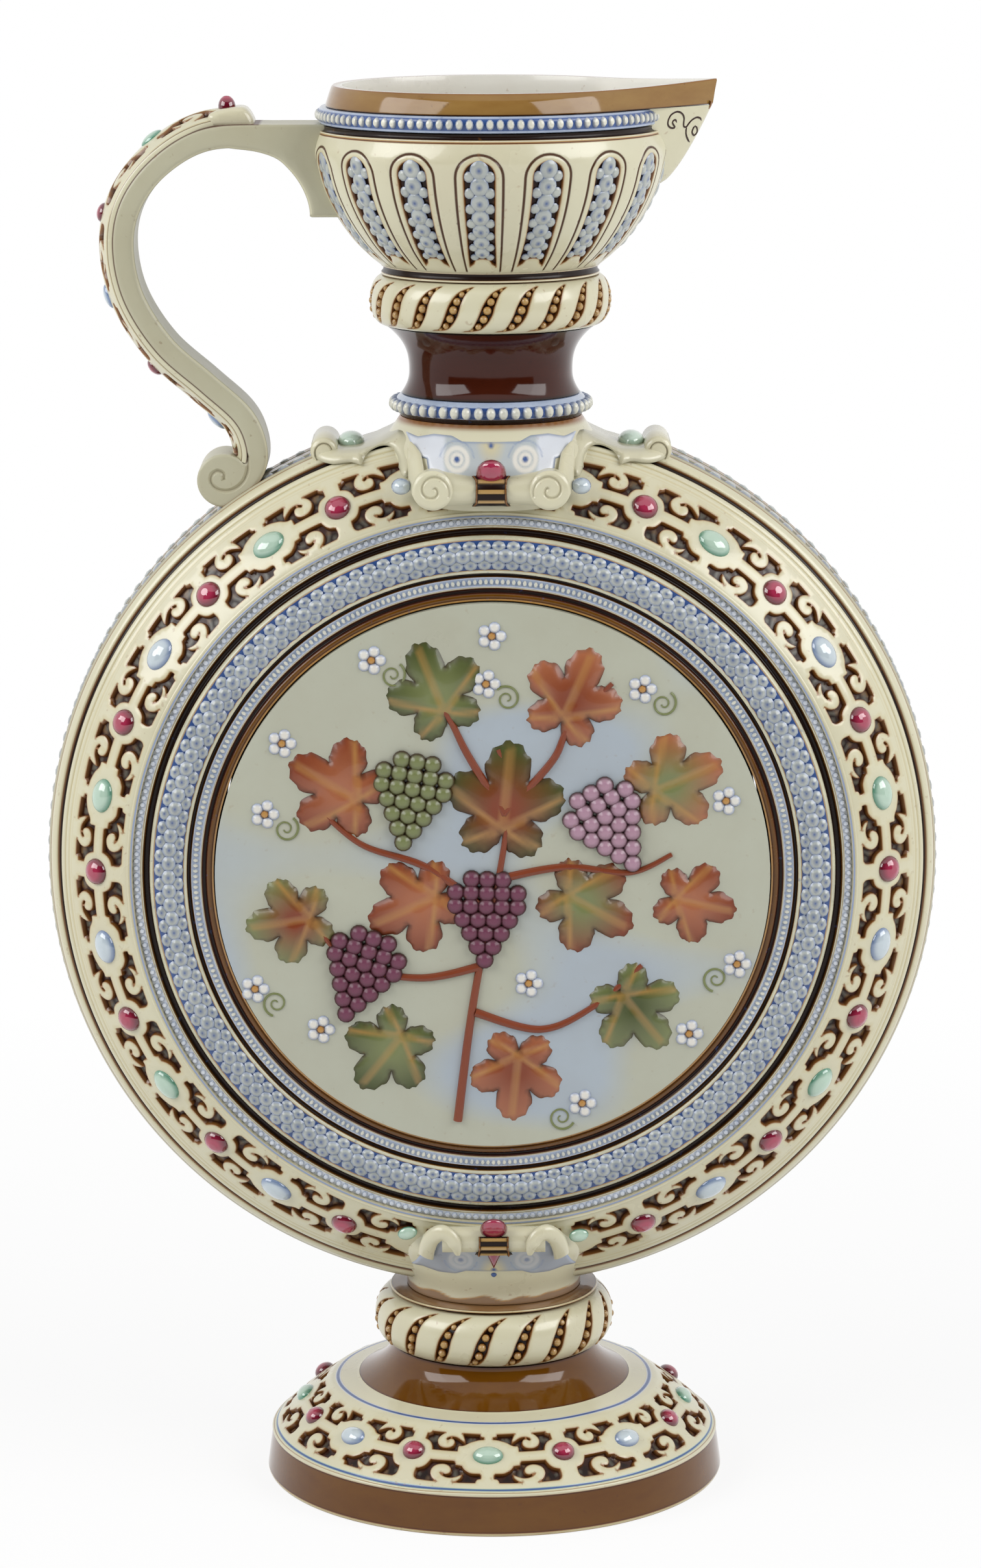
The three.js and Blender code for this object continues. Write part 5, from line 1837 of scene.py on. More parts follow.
    def lip(self) -> None:
        """Makes the brown lip drawn out to the spout, from its foot over its top to its inside."""
        rows = [
            (54.8, 74.2, 473.2, 0.0, Tint.BROWN), (54.8, 74.35, 473.6, 0.0, Tint.OCHRE),
            (53.7, 75.0, 477.0, 0.8, Tint.OCHRE), (52.85, 75.6, 479.4, 1.5, Tint.OCHRE),
            (52.3, 75.5, 479.95, 1.55, Tint.AMBER), (51.0, 75.0, 479.95, 1.6, Tint.OCHRE),
            (50.1, 74.4, 479.8, 1.6, Tint.CREAM_SHADE), (50.1, 73.0, 477.6, 0.8, Tint.CREAM_SHADE),
            (50.2, 65.5, 475.6, 0.0, Tint.CREAM_SHADE), (50.2, 57.5, 473.7, 0.0, Tint.CREAM_SHADE),
            (50.3, 51.0, 473.25, 0.0, Tint.CREAM_SHADE),
        ]
        loops = np.stack([drop(*row) for *row, _ in rows])
        colours = np.array([tint.linear for *_, tint in rows])[:, None]
        lip = Shape.grid(loops, colours, ring=True, tube=True).outward()
        piece("lip_glazed", lip, TAUPE, ["mouth_lip"])

    def lining(self) -> None:
        """Makes the mouth's pale lining: down inside the lip, down the bowl, and back up behind."""
        inside = [
            (50.1, 74.5, 479.9, 1.6), (49.3, 73.9, 479.85, 1.6), (49.0, 73.0, 478.2, 1.2),
            (49.0, 66.0, 476.3), (49.2, 58.0, 474.2), (49.4, 50.8, 473.2)]
        wall = smooth_line([
            (49.6, 468.0), (51.6, 457.0), (47.2, 447.0), (37.2, 435.0), (25.5, 423.5), (21.3, 417.0),
            (21.0, 405.0)], 28)
        behind = [
            (22.0, 405.0), (22.4, 417.0), (27.0, 422.6), (38.8, 434.4), (48.6, 446.5), (53.0, 457.0),
            (51.0, 468.0)]
        round_loops = [(radius, radius + 0.01, height) for radius, height in (*wall, *behind)]
        over = [(50.7, 51.5, 473.0), (50.6, 66.6, 475.6), (50.6, 74.2, 477.6, 1.0)]
        loops = np.stack([drop(*row) for row in inside + round_loops + over])
        lining = Shape.grid(loops, Tint.WHITE.linear, ring=True, tube=True).outward()
        piece("mouth_lining", lining, CREAM)

    @staticmethod
    def keel_at(share: np.ndarray) -> tuple[np.ndarray, np.ndarray]:
        """The keel's reach towards the spout and its half width at shares of the way up."""
        return 57 + 17 * np.clip(share, 0, 1) ** 0.72, 20 + 14 * share

    def apron(self) -> Shape:
        """The keel under the spout: its edge is rounded by a square root, its sides run straight.

        Returns:
            The closed keel.
        """
        start, top, height, edge = self.keel
        share = np.linspace(0, 1, 22)
        across = np.concatenate([
            np.linspace(-1, -0.1, 14), np.linspace(-0.07, 0.07, 7), np.linspace(0.1, 1, 14)])
        reach, wide = self.keel_at(share)
        z = top - height * (1 - share)
        y = across[None] * wide[:, None]
        away = np.sqrt(y**2 + edge**2) - edge
        x = start + (reach - start)[:, None] * (1 - away / wide[:, None])
        loops = np.stack([x, y, np.broadcast_to(z[:, None], x.shape)], -1)
        back = np.stack([np.full((22, 2), 34.0), np.stack([wide, -wide], 1), np.repeat(z[:, None], 2, 1)], -1)
        return lofted(np.concatenate([loops, back], axis=1), Tint.CREAM.linear)

    def scrolls(self) -> Shape:
        """The scrolls painted on both sides of the keel, set off a little along its normal.

        Returns:
            All strokes as one shape.
        """
        start, top, height, edge = self.keel
        made = []
        for stroke in self.strokes:
            curl = evenly(smooth_line(stroke, 90), 0.3)
            reach, wide = self.keel_at(1 - (top - curl[:, 1]) / height)
            away = wide * np.clip(1 - (curl[:, 0] - start) / (reach - start), 0, 1)
            y = np.sqrt((away + edge) ** 2 - edge**2)
            for side in (-1, 1):
                out = np.array([wide.mean(), side * (reach.mean() - start), 0.0])
                out /= np.linalg.norm(out)
                line = np.stack([curl[:, 0], side * y, curl[:, 1]], 1) + out * 0.05
                made.append(brushed(line, out, 0.7, Tint.LINE))
        return Shape.joined(made)

    def drip(self) -> Shape:
        """The run of glaze that hangs under the spout's tip.

        Returns:
            The closed drip.
        """
        turn = np.radians(even_turns(8))
        run = smooth_line([(73.6, 0, 474.0), (73.2, 0, 472.4), (72.4, 0, 471.0), (71.5, 0, 469.6)], 12)
        section = np.stack([2.4 * np.cos(turn), 0.8 * np.sin(turn)], 1)
        return strip(run, np.array([0.8, 0.0, -0.6]), section, Tint.AMBER.linear, np.linspace(1, 0.12, 12))

    def build(self) -> None:
        """Makes all of the neck and the mouth."""
        self.collar()
        self.neck()
        piece("bowl_panels", self.panelled(), CREAM, ["mouth_bowl"], 50)
        piece("bowl_husks", self.husked(), COBALT)
        self.band()
        self.lip()
        self.lining()
        piece("spout_apron_glazed", self.apron(), CREAM, ["spout_apron"])
        piece("spout_scrolls", self.scrolls(), CREAM)
        piece("spout_drip", self.drip(), TAUPE)


def turned_by(points: np.ndarray, degrees: float) -> np.ndarray:
    """Turns points about the jug's axis.

    Args:
        points: n points.
        degrees: the angle, from the front towards the spout.

    Returns:
        The turned points.
    """
    c, s = math.cos(math.radians(degrees)), math.sin(math.radians(degrees))
    x, y, z = points.T
    return np.stack([x * c - y * s, x * s + y * c, z], 1)


def rod(middle: tuple[float, float], radius: float, near: float, far: float, groove: np.ndarray,
        dome: float = 0.0, depth: float = 0.1, groove_darkening: float = 0.15) -> Shape:
    """A round rod from front to back whose two faces are cut with a groove, its edges rounded.

    A domed face falls by the square of the way from its middle to its edge.

    Args:
        middle: its [x, z].
        radius: its radius.
        near: the front face's y.
        far: the back face's y.
        groove: the line of the groove.
        dome: how far the faces fall to their edges.
        depth: the groove's depth as a share of the radius.
        groove_darkening: share of brown painted into the groove as its shade.

    Returns:
        The closed rod.
    """
    turn = np.radians(even_turns(60))
    outline = np.stack([middle[0] + radius * np.cos(turn), middle[1] + radius * np.sin(turn)], 1)
    half, hems = 0.11 * radius, (0.06 * radius, 0.15 * radius)
    side = crosswise(np.gradient(groove, axis=0)) * half
    panel = Panel.cut(outline, radius * 0.15, hems, [groove, groove + side, groove - side])
    cut = np.clip(1 - line_distance(panel.places, groove) / half, 0, 1)
    dent = depth * radius * cut + 0.14 * radius * np.clip(1 - panel.away / (0.2 * radius), 0, 1) ** 2
    dent += dome * (1 - np.clip(panel.away / radius, 0, 1)) ** 2
    # The brown in the groove is painted shade.
    tints = mixed(Tint.CREAM.linear, groove_darkening * cut[:, None], Tint.BROWN)
    x, z = panel.places.T
    return panel.shell(np.stack([x, near + dent, z], 1), np.stack([x, far - dent, z], 1), tints)


@dataclass(frozen=True)
class Saddle:
    """A saddle with its painted shield, scrolled bolsters, clasps and jewels.

    The loops are [half width, half depth, height, power], from the lowest up. The flip is 1 where
    the shield stands over the bolster and -1 where it hangs under it. The hook is the line of
    the scroll's lash, and its growth is [share of the way, size]. The bars are those of the
    clasp, [turn, half width], which ends at a turn. The ball is [out of the depth, height, width].
    The shield's right half is [across, height over the bolster].
    """

    name: str
    loops: tuple
    depth: float
    bolster: float
    scroll: tuple[float, float]
    flip: float
    hook: tuple
    growth: tuple
    bars: tuple
    clasp_end: float
    ball: tuple[float, float, float]
    ball_out: tuple[float, float, float]
    grain: float = 0.55
    shield_half: tuple = (
        (0, 15.0), (9.5, 15.0), (13, 16.7), (19, 16.9), (24.4, 15.6), (28.6, 16.6), (26.6, 13.2), (25.2, 9.8),
        (21.4, 9.3), (20.9, 6.0), (20.5, 2.6), (14, 0.2))

    def skin(self, x: np.ndarray, z: np.ndarray) -> np.ndarray:
        """Depth of the front.

        It is the half depth times the root of one less the power of x over the half width.

        Args:
            x: places across.
            z: heights.

        Returns:
            The depths.
        """
        loops = smooth_line(self.loops, 40)
        wide, deep, power = (np.interp(z, loops[:, 2], loops[:, k]) for k in (0, 1, 3))
        return deep * np.maximum(1 - np.minimum(np.abs(x) / wide, 1) ** power, 0) ** (1 / power)

    def place(self, x: np.ndarray, z: np.ndarray, rise: np.ndarray) -> np.ndarray:
        """Points on the front at x and z, moved forwards by the rise."""
        x, z, rise = np.broadcast_arrays(x, z, rise)
        return np.stack([x, -(self.skin(x, z) + rise), z], -1)

    def body(self) -> Shape:
        """The collar: each loop's x and y are powers of the cosine and the sine of an even turn.

        Returns:
            The closed collar.
        """
        loops = smooth_line(self.loops, 60)[:, None]
        turn = np.arange(112) * 2 * math.pi / 112
        c, s = np.cos(turn)[None], np.sin(turn)[None]
        x, y = (loops[..., k] * np.sign(t) * np.abs(t) ** (2 / loops[..., 3]) for k, t in ((0, c), (1, s)))
        height = np.broadcast_to(loops[..., 2], x.shape)
        low, high = loops[0, 0, 2], loops[-1, 0, 2]
        if self.flip > 0:
            # The top 2 mm darken to amber as a painted shadow under the neck's collar.
            tints = blended(height, [(high - 2.2, Tint.CREAM), (high - 0.8, Tint.AMBER)])
        else:
            # The cream glaze ends in a ragged edge over the saucer's brown slip.
            ragged = height + 0.7 * waver(np.degrees(turn), 5, 9, 7)
            tints = blended(ragged, [
                (low + 1.9, Tint.TAUPE), (low + 2.2, Tint.HONEY), (low + 2.6, Tint.CREAM)])
        return lofted(np.stack([x, y, height], -1), tints)

    def shield(self) -> Shape:
        """The painted shield: pale grey between white ends, with a blue edge and two ringed eyes.

        Returns:
            The front's shield.
        """
        scale = self.flip * (1.0 if self.flip > 0 else 0.9)
        left = tuple((-x, height) for x, height in self.shield_half[:0:-1])
        outline = np.array(self.shield_half + left) * [1, scale] + [0, self.bolster]
        outline = evenly(np.concatenate([outline, outline[:1]]), 0.8)[:-1]
        panel = Panel.cut(outline, self.grain, (0.35, 0.8))
        x, z = panel.places.T
        high = (z - self.bolster) / scale
        ring = np.hypot(np.abs(x) - 11.3, high - 9.6)
        tints = blended(ring, [
            (0.7, Tint.BLUE), (1.2, Tint.WHITE), (1.9, Tint.WHITE), (2.4, Tint.MIST), (3.0, Tint.WHITE),
            (3.9, Tint.WHITE), (4.5, Tint.MIST), (9.0, Tint.MIST)])
        if self.flip < 0:
            tints = mixed(tints, 0.65, Tint.SLATE)
        ends = np.clip((np.abs(x) - 14.5) / 1.5, 0, 1) * np.clip((ring - 4.2) / 0.5, 0, 1)
        brow = np.clip((1.2 - np.abs(ring - 5.6) / 0.35) * (high > 10), 0, 1) * 0.5
        middle = np.clip(1.5 - np.hypot(np.abs(x) / 3.6, (high - 16.0) / 6), 0, 1)
        edge = np.clip(1.4 - panel.away / 0.6, 0, 1) * np.where(high > 13.5, 0.6, 1.0)
        dot = np.clip(1.6 - np.hypot(x, high - 13.9) / 0.75, 0, 1)
        strokes = (
            (ends, Tint.LILAC if self.flip > 0 else Tint.SLATE), (brow, Tint.ICE_DARK),
            (middle, Tint.CREAM_WARM), (edge, Tint.PERIWINKLE), (dot, Tint.BLUE))
        for share, tint in strokes:
            tints = mixed(tints, share[:, None], tint)
        rise = 0.75 * (1 - np.exp(-panel.away / 0.35)) - 0.25 * np.exp(-((ring - 2.4) ** 2) / 0.3)
        return panel.shell(self.place(x, z, rise), self.place(x, z, -1.2), tints)

    def bolsters(self) -> Shape:
        """A roll that swells to its ends, and at each end the scroll that it is rolled up in.

        Returns:
            The front's bolster with both scrolls.
        """
        x = np.linspace(-17.5, 17.5, 31)[:, None]
        turn = np.radians(even_turns(36))[None]
        swell = (np.abs(x) / 17.5) ** 1.8
        radius = 4.4 + 1.7 * swell * (self.flip > 0)
        middle = self.bolster + (self.scroll[1] - self.bolster) * swell
        y, z = -self.depth - 0.3 - radius * np.cos(turn), middle + radius * np.sin(turn)
        roll = lofted(np.stack(np.broadcast_arrays(x, y, z), -1), Tint.CREAM.linear)
        ends = []
        if self.flip > 0:
            groove = spiral(self.scroll, (5.6, 1.0), 200, -1.2, 60)
            ends = [rod(self.scroll, 6.6, -self.depth - 6.9, -self.depth + 1, groove)]
        turn = np.radians(even_turns(18))
        section = np.stack([3.0 * np.cos(turn), 2.1 * np.sin(turn)], 1)
        grow = np.interp(np.linspace(0, 1, 40), *np.array(self.growth).T)
        line, up = smooth_line(self.hook, 40), np.array([0.3, -0.95, 0.0])
        hook = strip(line, up, section, Tint.CREAM.linear, grow)
        return Shape.joined([roll, *ends, *(end.mirrored() for end in ends), hook, hook.mirrored()])

    def clasp(self) -> Shape:
        """A clasp of three clay bars between black grooves, bent round the roll, flared at its corners.

        Returns:
            The front's clasp.
        """
        turn = np.linspace(-74, self.clasp_end, 75)[:, None]
        across = np.array([-1, -0.94, -0.87, -0.82, 0, 0.82, 0.87, 0.94, 1, 0.9, 0, -0.9])[None]
        lift = np.array([0.9, 1.3, 1.3, 0.9, 0.9, 0.9, 1.3, 1.3, 0.9, -0.8, -0.8, -0.8])[None]
        bar = np.max([np.clip(1.5 - np.abs(turn - at) / half, 0, 0.5) * 2 for at, half in self.bars], axis=0)
        radius = 4.9 + np.where(lift > 0, lift * (0.35 + 0.75 * bar), lift)
        angle = np.radians(turn)
        x = across * (5.1 + 1.3 * (np.abs(turn) / 74) ** 3)
        y, z = -self.depth - 0.3 - radius * np.cos(angle), self.bolster + radius * np.sin(angle)
        share = (bar * (np.abs(across) < 0.83))[..., None]
        rim = ((np.abs(across) > 0.9) & (lift > 1))[..., None] * np.ones_like(share)
        tints = mixed(mixed(Tint.UMBER.linear, rim, Tint.AMBER), share, Tint.TAN)
        return lofted(np.stack(np.broadcast_arrays(x, y, z), -1), tints)

    def build(self) -> None:
        """Makes the saddle, and its fittings on both faces."""
        name = self.name
        piece(f"{name}_saddle_collar", self.body(), CREAM, [f"{name}_saddle"])
        both(f"{name}_shield", self.shield(), CLAY)
        both(f"{name}_bolster_scrolls", self.bolsters(), CREAM, f"{name}_bolster_{{}}")
        both(f"{name}_clasp_bars", self.clasp(), CREAM, f"{name}_clasp_{{}}")
        lift, height, across = self.ball
        middle, out = np.array([0, -self.depth - lift, height]), np.array(self.ball_out)
        seat = (middle, np.array([1.0, 0, 0]), np.array([0, -out[2], -out[1]]), out)
        ball = Bead(across, across, across * 0.56, Tint.RED, Tint.RED_DARK, 28, 10)
        both(f"{name}_ball", ball.seated(seat), ENAMEL, f"{name}_jewel_{{}}")

    def pendant(self) -> None:
        """Makes the red pendant and the blue dot under the clasp, on both faces."""
        triangle = Bead(10.8, 8.6, 1.5, Tint.RED, Tint.RED_DARK, 3, 4)
        pendant = triangle.seated(bearings(self.place, 0.0, 87.6, 0.6), turned=-90)
        dot = Bead(2.0, 2.0, 0.7, Tint.BLUE, Tint.BLUE, 10, 4)
        both("lower_pendant", pendant, ENAMEL)
        both("lower_dot", dot.seated(bearings(self.place, 0.0, 78.4, 0.0)), COBALT)


UPPER = Saddle(
    name="upper",
    loops=((25.6, 42, 342.6, 2.6), (30.6, 42, 348.0, 2.6), (34.6, 40.5, 353.9, 2.5), (36.6, 36.6, 359.9, 2.3),
           (33.6, 33.1, 365.0, 2.1), (30.6, 30.6, 369.6, 2.0)),
    depth=42.0, bolster=349.5, scroll=(19.3, 350.3), flip=1.0,
    hook=((27.2, -26.5, 363.5), (25.8, -30.0, 360.0), (25.0, -34.0, 356.0), (24.5, -38.8, 351.5),
          (22.8, -43.8, 347.4), (19.3, -45.9, 345.6), (15.8, -45.2, 345.8)),
    growth=((0, 0.2), (0.2, 0.9), (0.5, 1.0), (0.8, 0.75), (1, 0.3)),
    bars=((40, 6), (3, 6), (-35, 4)), clasp_end=74, ball=(2.2, 355.4, 10.2), ball_out=(0, -0.95, 0.31))
LOWER = Saddle(
    name="lower",
    loops=((30.2, 30.2, 66.0, 2.0), (30.5, 30.5, 70.4, 2.0), (33.2, 34.2, 77.1, 2.2), (38.2, 39.5, 86.3, 2.4),
           (33.2, 42.5, 93.7, 2.6), (26.0, 39.5, 96.2, 2.6), (17.0, 35.0, 97.6, 2.6)),
    depth=42.5, bolster=93.2, scroll=(16.8, 93.2), flip=-1.0,
    hook=((23.2, -36.5, 85.6), (22.6, -40.5, 89.6), (20.9, -44.2, 94.2), (17.6, -46.3, 96.6),
          (14.6, -47.2, 95.2), (12.9, -47.4, 92.0), (12.2, -46.4, 88.6)),
    growth=((0, 1.0), (0.5, 0.95), (0.8, 0.8), (1, 0.25)),
    bars=((14, 5), (-18, 5), (-50, 4)), clasp_end=26, ball=(4.6, 97.9, 9.4), ball_out=(0, -0.9, 0.44))


@dataclass(frozen=True)
class Arms:
    """The two arms of the upper saddle that hug the rim, with their volutes and beads.

    The lower edge is [across, height], from the volute inwards. The arms stand proud of the
    flask's shoulder.
    """

    proud: float = 4.2
    lower: tuple = (
        (60.4, 358.4), (57.5, 356.2), (52.7, 355.4), (46.9, 356.2), (43.1, 355.4), (41.6, 358.8),
        (37.3, 361.2), (33.4, 361.2), (31, 358.3), (30.1, 353.4), (27.7, 352.4), (24, 356))
    crease: tuple = ((42.7, 355.9), (42.9, 357.4), (43.2, 359.0))
    volute: tuple[float, float] = (55.9, 359.2)

    def arm(self) -> Shape:
        """The right arm: a slab cut to its outline, its front rounded down to its edge.

        Returns:
            The closed arm.
        """
        top = evenly(np.array([(24, 366.0), (31.3, 365.9), *ARM_EDGE[3:], (60.2, 361.5)]), 1.0)
        parts = (self.lower[:5], self.lower[4:9], self.lower[8:])
        low = np.concatenate([smooth_line(part, 20)[:-1] for part in parts])
        outline = evenly(np.concatenate([top, low, top[:1]]), 0.8)[:-1]
        crease = np.array(self.crease)
        panel = Panel.cut(outline, 1.5, (0.5, 1.2, 2.2), [crease])
        x, z = panel.places.T
        fall = 2.4 * np.clip(1 - panel.away / 2.4, 0, 1) ** 2
        fall += 0.7 * np.clip(1 - line_distance(panel.places, crease) / 0.9, 0, 1)
        deep = Flask().skin(np.hypot(x, z - FLASK_HEIGHT)) + self.proud - fall
        tints = blended(panel.away, [(0, Tint.CREAM_SHADE), (1.5, Tint.CREAM)])
        return panel.shell(np.stack([x, -deep, z], 1), np.stack([x, deep, z], 1), tints)

    def build(self) -> None:
        """Makes both arms with their volutes, and the beads and leaves beside the saddles."""
        arm, curl = self.arm(), spiral((55.7, 358.9), (3.5, 2.1), -65, 0.85, 40)
        volute = rod(self.volute, 4.6, -16.4, 16.4, curl, 0.9, 0.17, 0.3)
        arms = Shape.joined([arm, volute, arm.mirrored(), volute.mirrored()])
        piece("shoulder_arms", arms, CREAM)
        pear = Bead(9.0, 13.0, 3.6, Tint.GREEN_PALE, Tint.GREEN, 24, 12, shine=0.96)
        side, back, up = np.eye(3)
        for name, sign in (("left", -1), ("right", 1)):
            bead = pear.seated((np.array([sign * 47.2, 0, 360.5]), side, back, up))
            piece(f"{name}_shoulder_drop", bead, ENAMEL, [f"{name}_shoulder_bead"])
        frame = [np.tile(direction, (2, 1)) for direction in (side, up, -back)]
        bead = Bead(6.6, 5.6, 3.4, Tint.ICE, Tint.ICE_DARK, 20, 8, shine=0.8)
        seats = np.array([[-29.8, -38.3, 350.4], [29.8, -38.3, 350.4]])
        both("upper_side_beads", bead.seated((seats, *frame)), ENAMEL)
        leaf = Bead(6.8, 4.6, 1.3, Tint.GREEN, Tint.GREEN_DARK, 14, 6, shine=0.8)
        seats = np.array([[-29.4, -36.6, 93.6], [29.0, -36.6, 92.6]])
        both("lower_side_leaves", leaf.seated((seats, *frame), turned=12), ENAMEL)


@dataclass(frozen=True)
class Handle:
    """The flat-sided scroll, the carved strap laid along its outside, and the boss that ends it.

    The guide is the scroll's line as [x, z], and so are the inside's arch, the root on the bowl,
    the groove that winds to the volute's eye and the boss's outline. The knots are the lengths
    along the guide at which the strap's jewels sit, from the one on the boss to the one inside
    the volute. The strap's edge is [across, rise, tint], outwards. Half is half the scroll's
    width, outer the way from the guide to its outside, and volute the radius about the eye.
    """

    half: float = 11.5
    outer: float = 4.15
    eye: tuple[float, float] = (-89.9, 348.7)
    volute: float = 8.9
    knots: tuple = (31.8, 54.1, 78.3, 101.5, 125.7, 152.7, 177.0)
    guide: tuple = (
        (-55, 462.3), (-78, 463.4), (-95, 461.8), (-108.6, 453.8), (-118.3, 441.8), (-121.6, 428),
        (-118.6, 411.1), (-108.6, 394.8), (-94.4, 382), (-83.05, 371.6), (-78.55, 362.8), (-78.05, 354.1),
        (-82.55, 346.1))
    arch: tuple = (
        (-85.2, 459.5), (-77.5, 458.5), (-70.9, 456.2), (-66.6, 452.4), (-63.3, 448.0), (-61.1, 443.4),
        (-60.1, 439.4), (-60, 436.8))
    root: tuple = ((-47, 436.8), (-51, 453.8), (-53.5, 466.3))
    groove: tuple = (
        (-81.9, 357.6), (-81.6, 354.4), (-82.0, 351.4), (-83.4, 348.4), (-86.2, 346.0), (-89.6, 345.2),
        (-92.6, 346.2), (-94.2, 348.4), (-93.8, 350.8), (-91.8, 352.0), (-89.8, 351.0), (-89.8, 349.2))
    block: tuple = (
        (-92.6, 466.2), (-93.6, 470.0), (-91.0, 471.7), (-86.0, 472.7), (-82.2, 472.8), (-80.2, 471.4),
        (-78.4, 468.0), (-78.8, 466.0))
    edge: tuple = (
        (9.9, 0.15, Tint.CREAM), (10.25, 0.1, Tint.CREAM_WARM), (10.4, -0.25, Tint.BROWN),
        (10.6, -0.25, Tint.BROWN), (10.75, 0.0, Tint.CREAM), (11.0, -0.2, Tint.CREAM),
        (11.0, -1.1, Tint.CREAM), (11.0, -1.5, Tint.BROWN))

    def beside(self, at: np.ndarray, out: np.ndarray | float) -> np.ndarray:
        """Points beside the guide.

        Args:
            at: lengths along the guide.
            out: distances outwards, square to it.

        Returns:
            [x, z] points.
        """
        line = evenly(smooth_line(self.guide, 600), 0.5)
        length = np.concatenate([[0], np.cumsum(np.linalg.norm(np.diff(line, axis=0), axis=1))])
        off = crosswise(np.gradient(line, axis=0))
        return np.stack([
            np.interp(at, length, line[:, k]) + out * np.interp(at, length, off[:, k]) for k in (0, 1)], -1)

    def outline(self) -> np.ndarray:
        """The scroll's outline: outside, volute, inside, arch and root.

        Returns:
            The closed outline's points.
        """
        at, eye, root = np.arange(18.0, 185.0, 1.0), np.array(self.eye), np.array(self.root)
        outside = self.beside(at, self.outer)
        outside = outside[np.hypot(*(outside - eye).T) > self.volute + 0.3]
        free = at[at > 31]
        inside = self.beside(free, -2.85 - 1.3 * np.clip(1 - free / 60, 0, 1))
        first = math.atan2(*(outside[-1] - eye)[::-1])
        turn = np.linspace(first, math.radians(328), 60)
        circle = eye + self.volute * np.stack([np.cos(turn), np.sin(turn)], 1)
        start = np.array([[root[-1, 0], outside[0, 1]]])
        arch = smooth_line(self.arch, 40)[1:]
        parts = [outside, circle, inside[::-1], arch, root[:-1], start, outside[:1]]
        return evenly(np.concatenate(parts), 1.0)[:-1]

    def scroll(self) -> Shape:
        """The scroll, its root on the bowl and its volute, as one flat-sided slab.

        Its inside edge is bevelled, with painted shade on its wall and a painted highlight by it; a
        brown line runs along the strap, and a groove winds from the strap's end to the volute's eye.

        Returns:
            The closed scroll.
        """
        groove, half = evenly(smooth_line(self.groove, 120), 0.5), 0.9
        side = crosswise(np.gradient(groove, axis=0)) * half
        panel = Panel.cut(self.outline(), 2.0, (0.35, 0.9, 1.7), [groove, groove + side, groove - side])
        guide = self.beside(np.arange(0, 185, 0.5), 0.0)
        x, z = panel.places.T
        near = np.hypot(x[:, None] - guide[:, 0], z[:, None] - guide[:, 1]).argmin(axis=1)
        out = ((panel.places - guide[near]) * (self.beside(near * 0.5, 1.0) - guide[near])).sum(1)
        free = np.hypot(*(panel.places - np.array(self.eye)).T) > self.volute + 1
        inner = free & (out < -0.5)
        cut = np.clip(1 - line_distance(panel.places, groove) / half, 0, 1)
        inner_fall = np.clip(1 - panel.away / 1.3, 0, 1) ** 1.3
        outer_fall = 0.5 * np.clip(1 - panel.away / 0.8, 0, 1) ** 2
        y = self.half - np.where(inner, inner_fall, outer_fall) - 0.9 * cut
        # On the inside the wall is painted grey as shade, and a cream line just inside its edge is a painted
        # highlight.
        bevel_shade_and_highlight = blended(panel.away, [(0, Tint.STONE_SHADE), (0.35, Tint.CREAM), (0.9, Tint.CREAM_SHADE)])
        tints = np.where(inner[:, None], bevel_shade_and_highlight, Tint.CREAM_SHADE.linear)
        tints[free & (out > 0.5) & (panel.away < 0.2) & (x < -76)] = Tint.BROWN.linear
        # The amber in the winding groove is painted shade.
        tints = mixed(tints, 0.1 * cut[:, None], Tint.AMBER)
        return panel.shell(np.stack([x, -y, z], 1), np.stack([x, y, z], 1), tints)

    def on_strap(self, turn: np.ndarray, across: np.ndarray, rise: np.ndarray) -> np.ndarray:
        """Points on the strap's dome, whose height falls by the power 1.9 of the way to its edge.

        Args:
            turn: 0 at the first knot, 1 at the second, and so on.
            across: distance from the strap's middle line.
            rise: distance off the dome.

        Returns:
            The points.
        """
        turn, across, rise = np.broadcast_arrays(turn, across, rise)
        at = np.interp(turn, np.arange(len(self.knots)), self.knots)
        crown = self.outer + 1.5 + 3.8 * (1 - np.minimum(np.abs(across) / 11, 1) ** 1.9)
        x, z = np.moveaxis(self.beside(at, crown + rise), -1, 0)
        narrow = 0.76 + 0.24 * np.clip((at - 36) / 7, 0, 1)
        return np.stack([x, across * narrow, z], -1)

    def strap(self) -> Shape:
        """The strap: half cells of strapwork, two cream edges between brown lines, and a flat bed.

        Returns:
            The closed strap.
        """
        steps, cells, cell = 16, len(self.knots) - 1, Strapwork()
        low, high = 0.95 * cell.low + 0.7, 0.95 * cell.high + 0.7
        carved = cell.half(steps).wrapped(self.on_strap, cells, 1.0, 0.7, 0.95)
        turn = np.linspace(0, cells, cells * steps + 1)
        right = [self.on_strap(turn, np.array(y), np.array(rise)) for y, rise, _ in self.edge]
        left = [row * [1, -1, 1] for row in right[::-1]]
        colours = np.array([Tint.CREAM.linear, *(tint.linear for *_, tint in self.edge)])[:, None]
        level_low, level_high = (self.on_strap(turn, np.array(y), np.array(0.0)) for y in (low, high))
        rows = [
            Shape.grid(np.stack([level_high, *right]), colours),
            Shape.grid(np.stack([*left, level_low]), colours[::-1]),
            Shape.grid(np.stack([right[-1], left[0]]), Tint.CREAM_SHADE.linear),
        ]
        across = np.linspace(low, high, upright_steps((0, cell.low), (cell.width, cell.high), steps) + 1)
        caps = []
        for column, knot in ((0, 0.0), (-1, float(cells))):
            middle = self.on_strap(np.array(knot), across, np.array(0.0))
            ring = np.concatenate([middle, [row[column] for row in right + left]])
            count = len(ring)
            order = np.arange(count), (np.arange(count) + 1) % count
            faces = np.stack([np.full(count, count), *(order if column == 0 else order[::-1])], 1)
            points = np.concatenate([ring, [ring.mean(axis=0)]])
            caps.append(Shape(points, faces, np.tile(Tint.CREAM.linear, (count + 1, 1))))
        return Shape.joined([carved, *rows, *caps]).welded().outward()

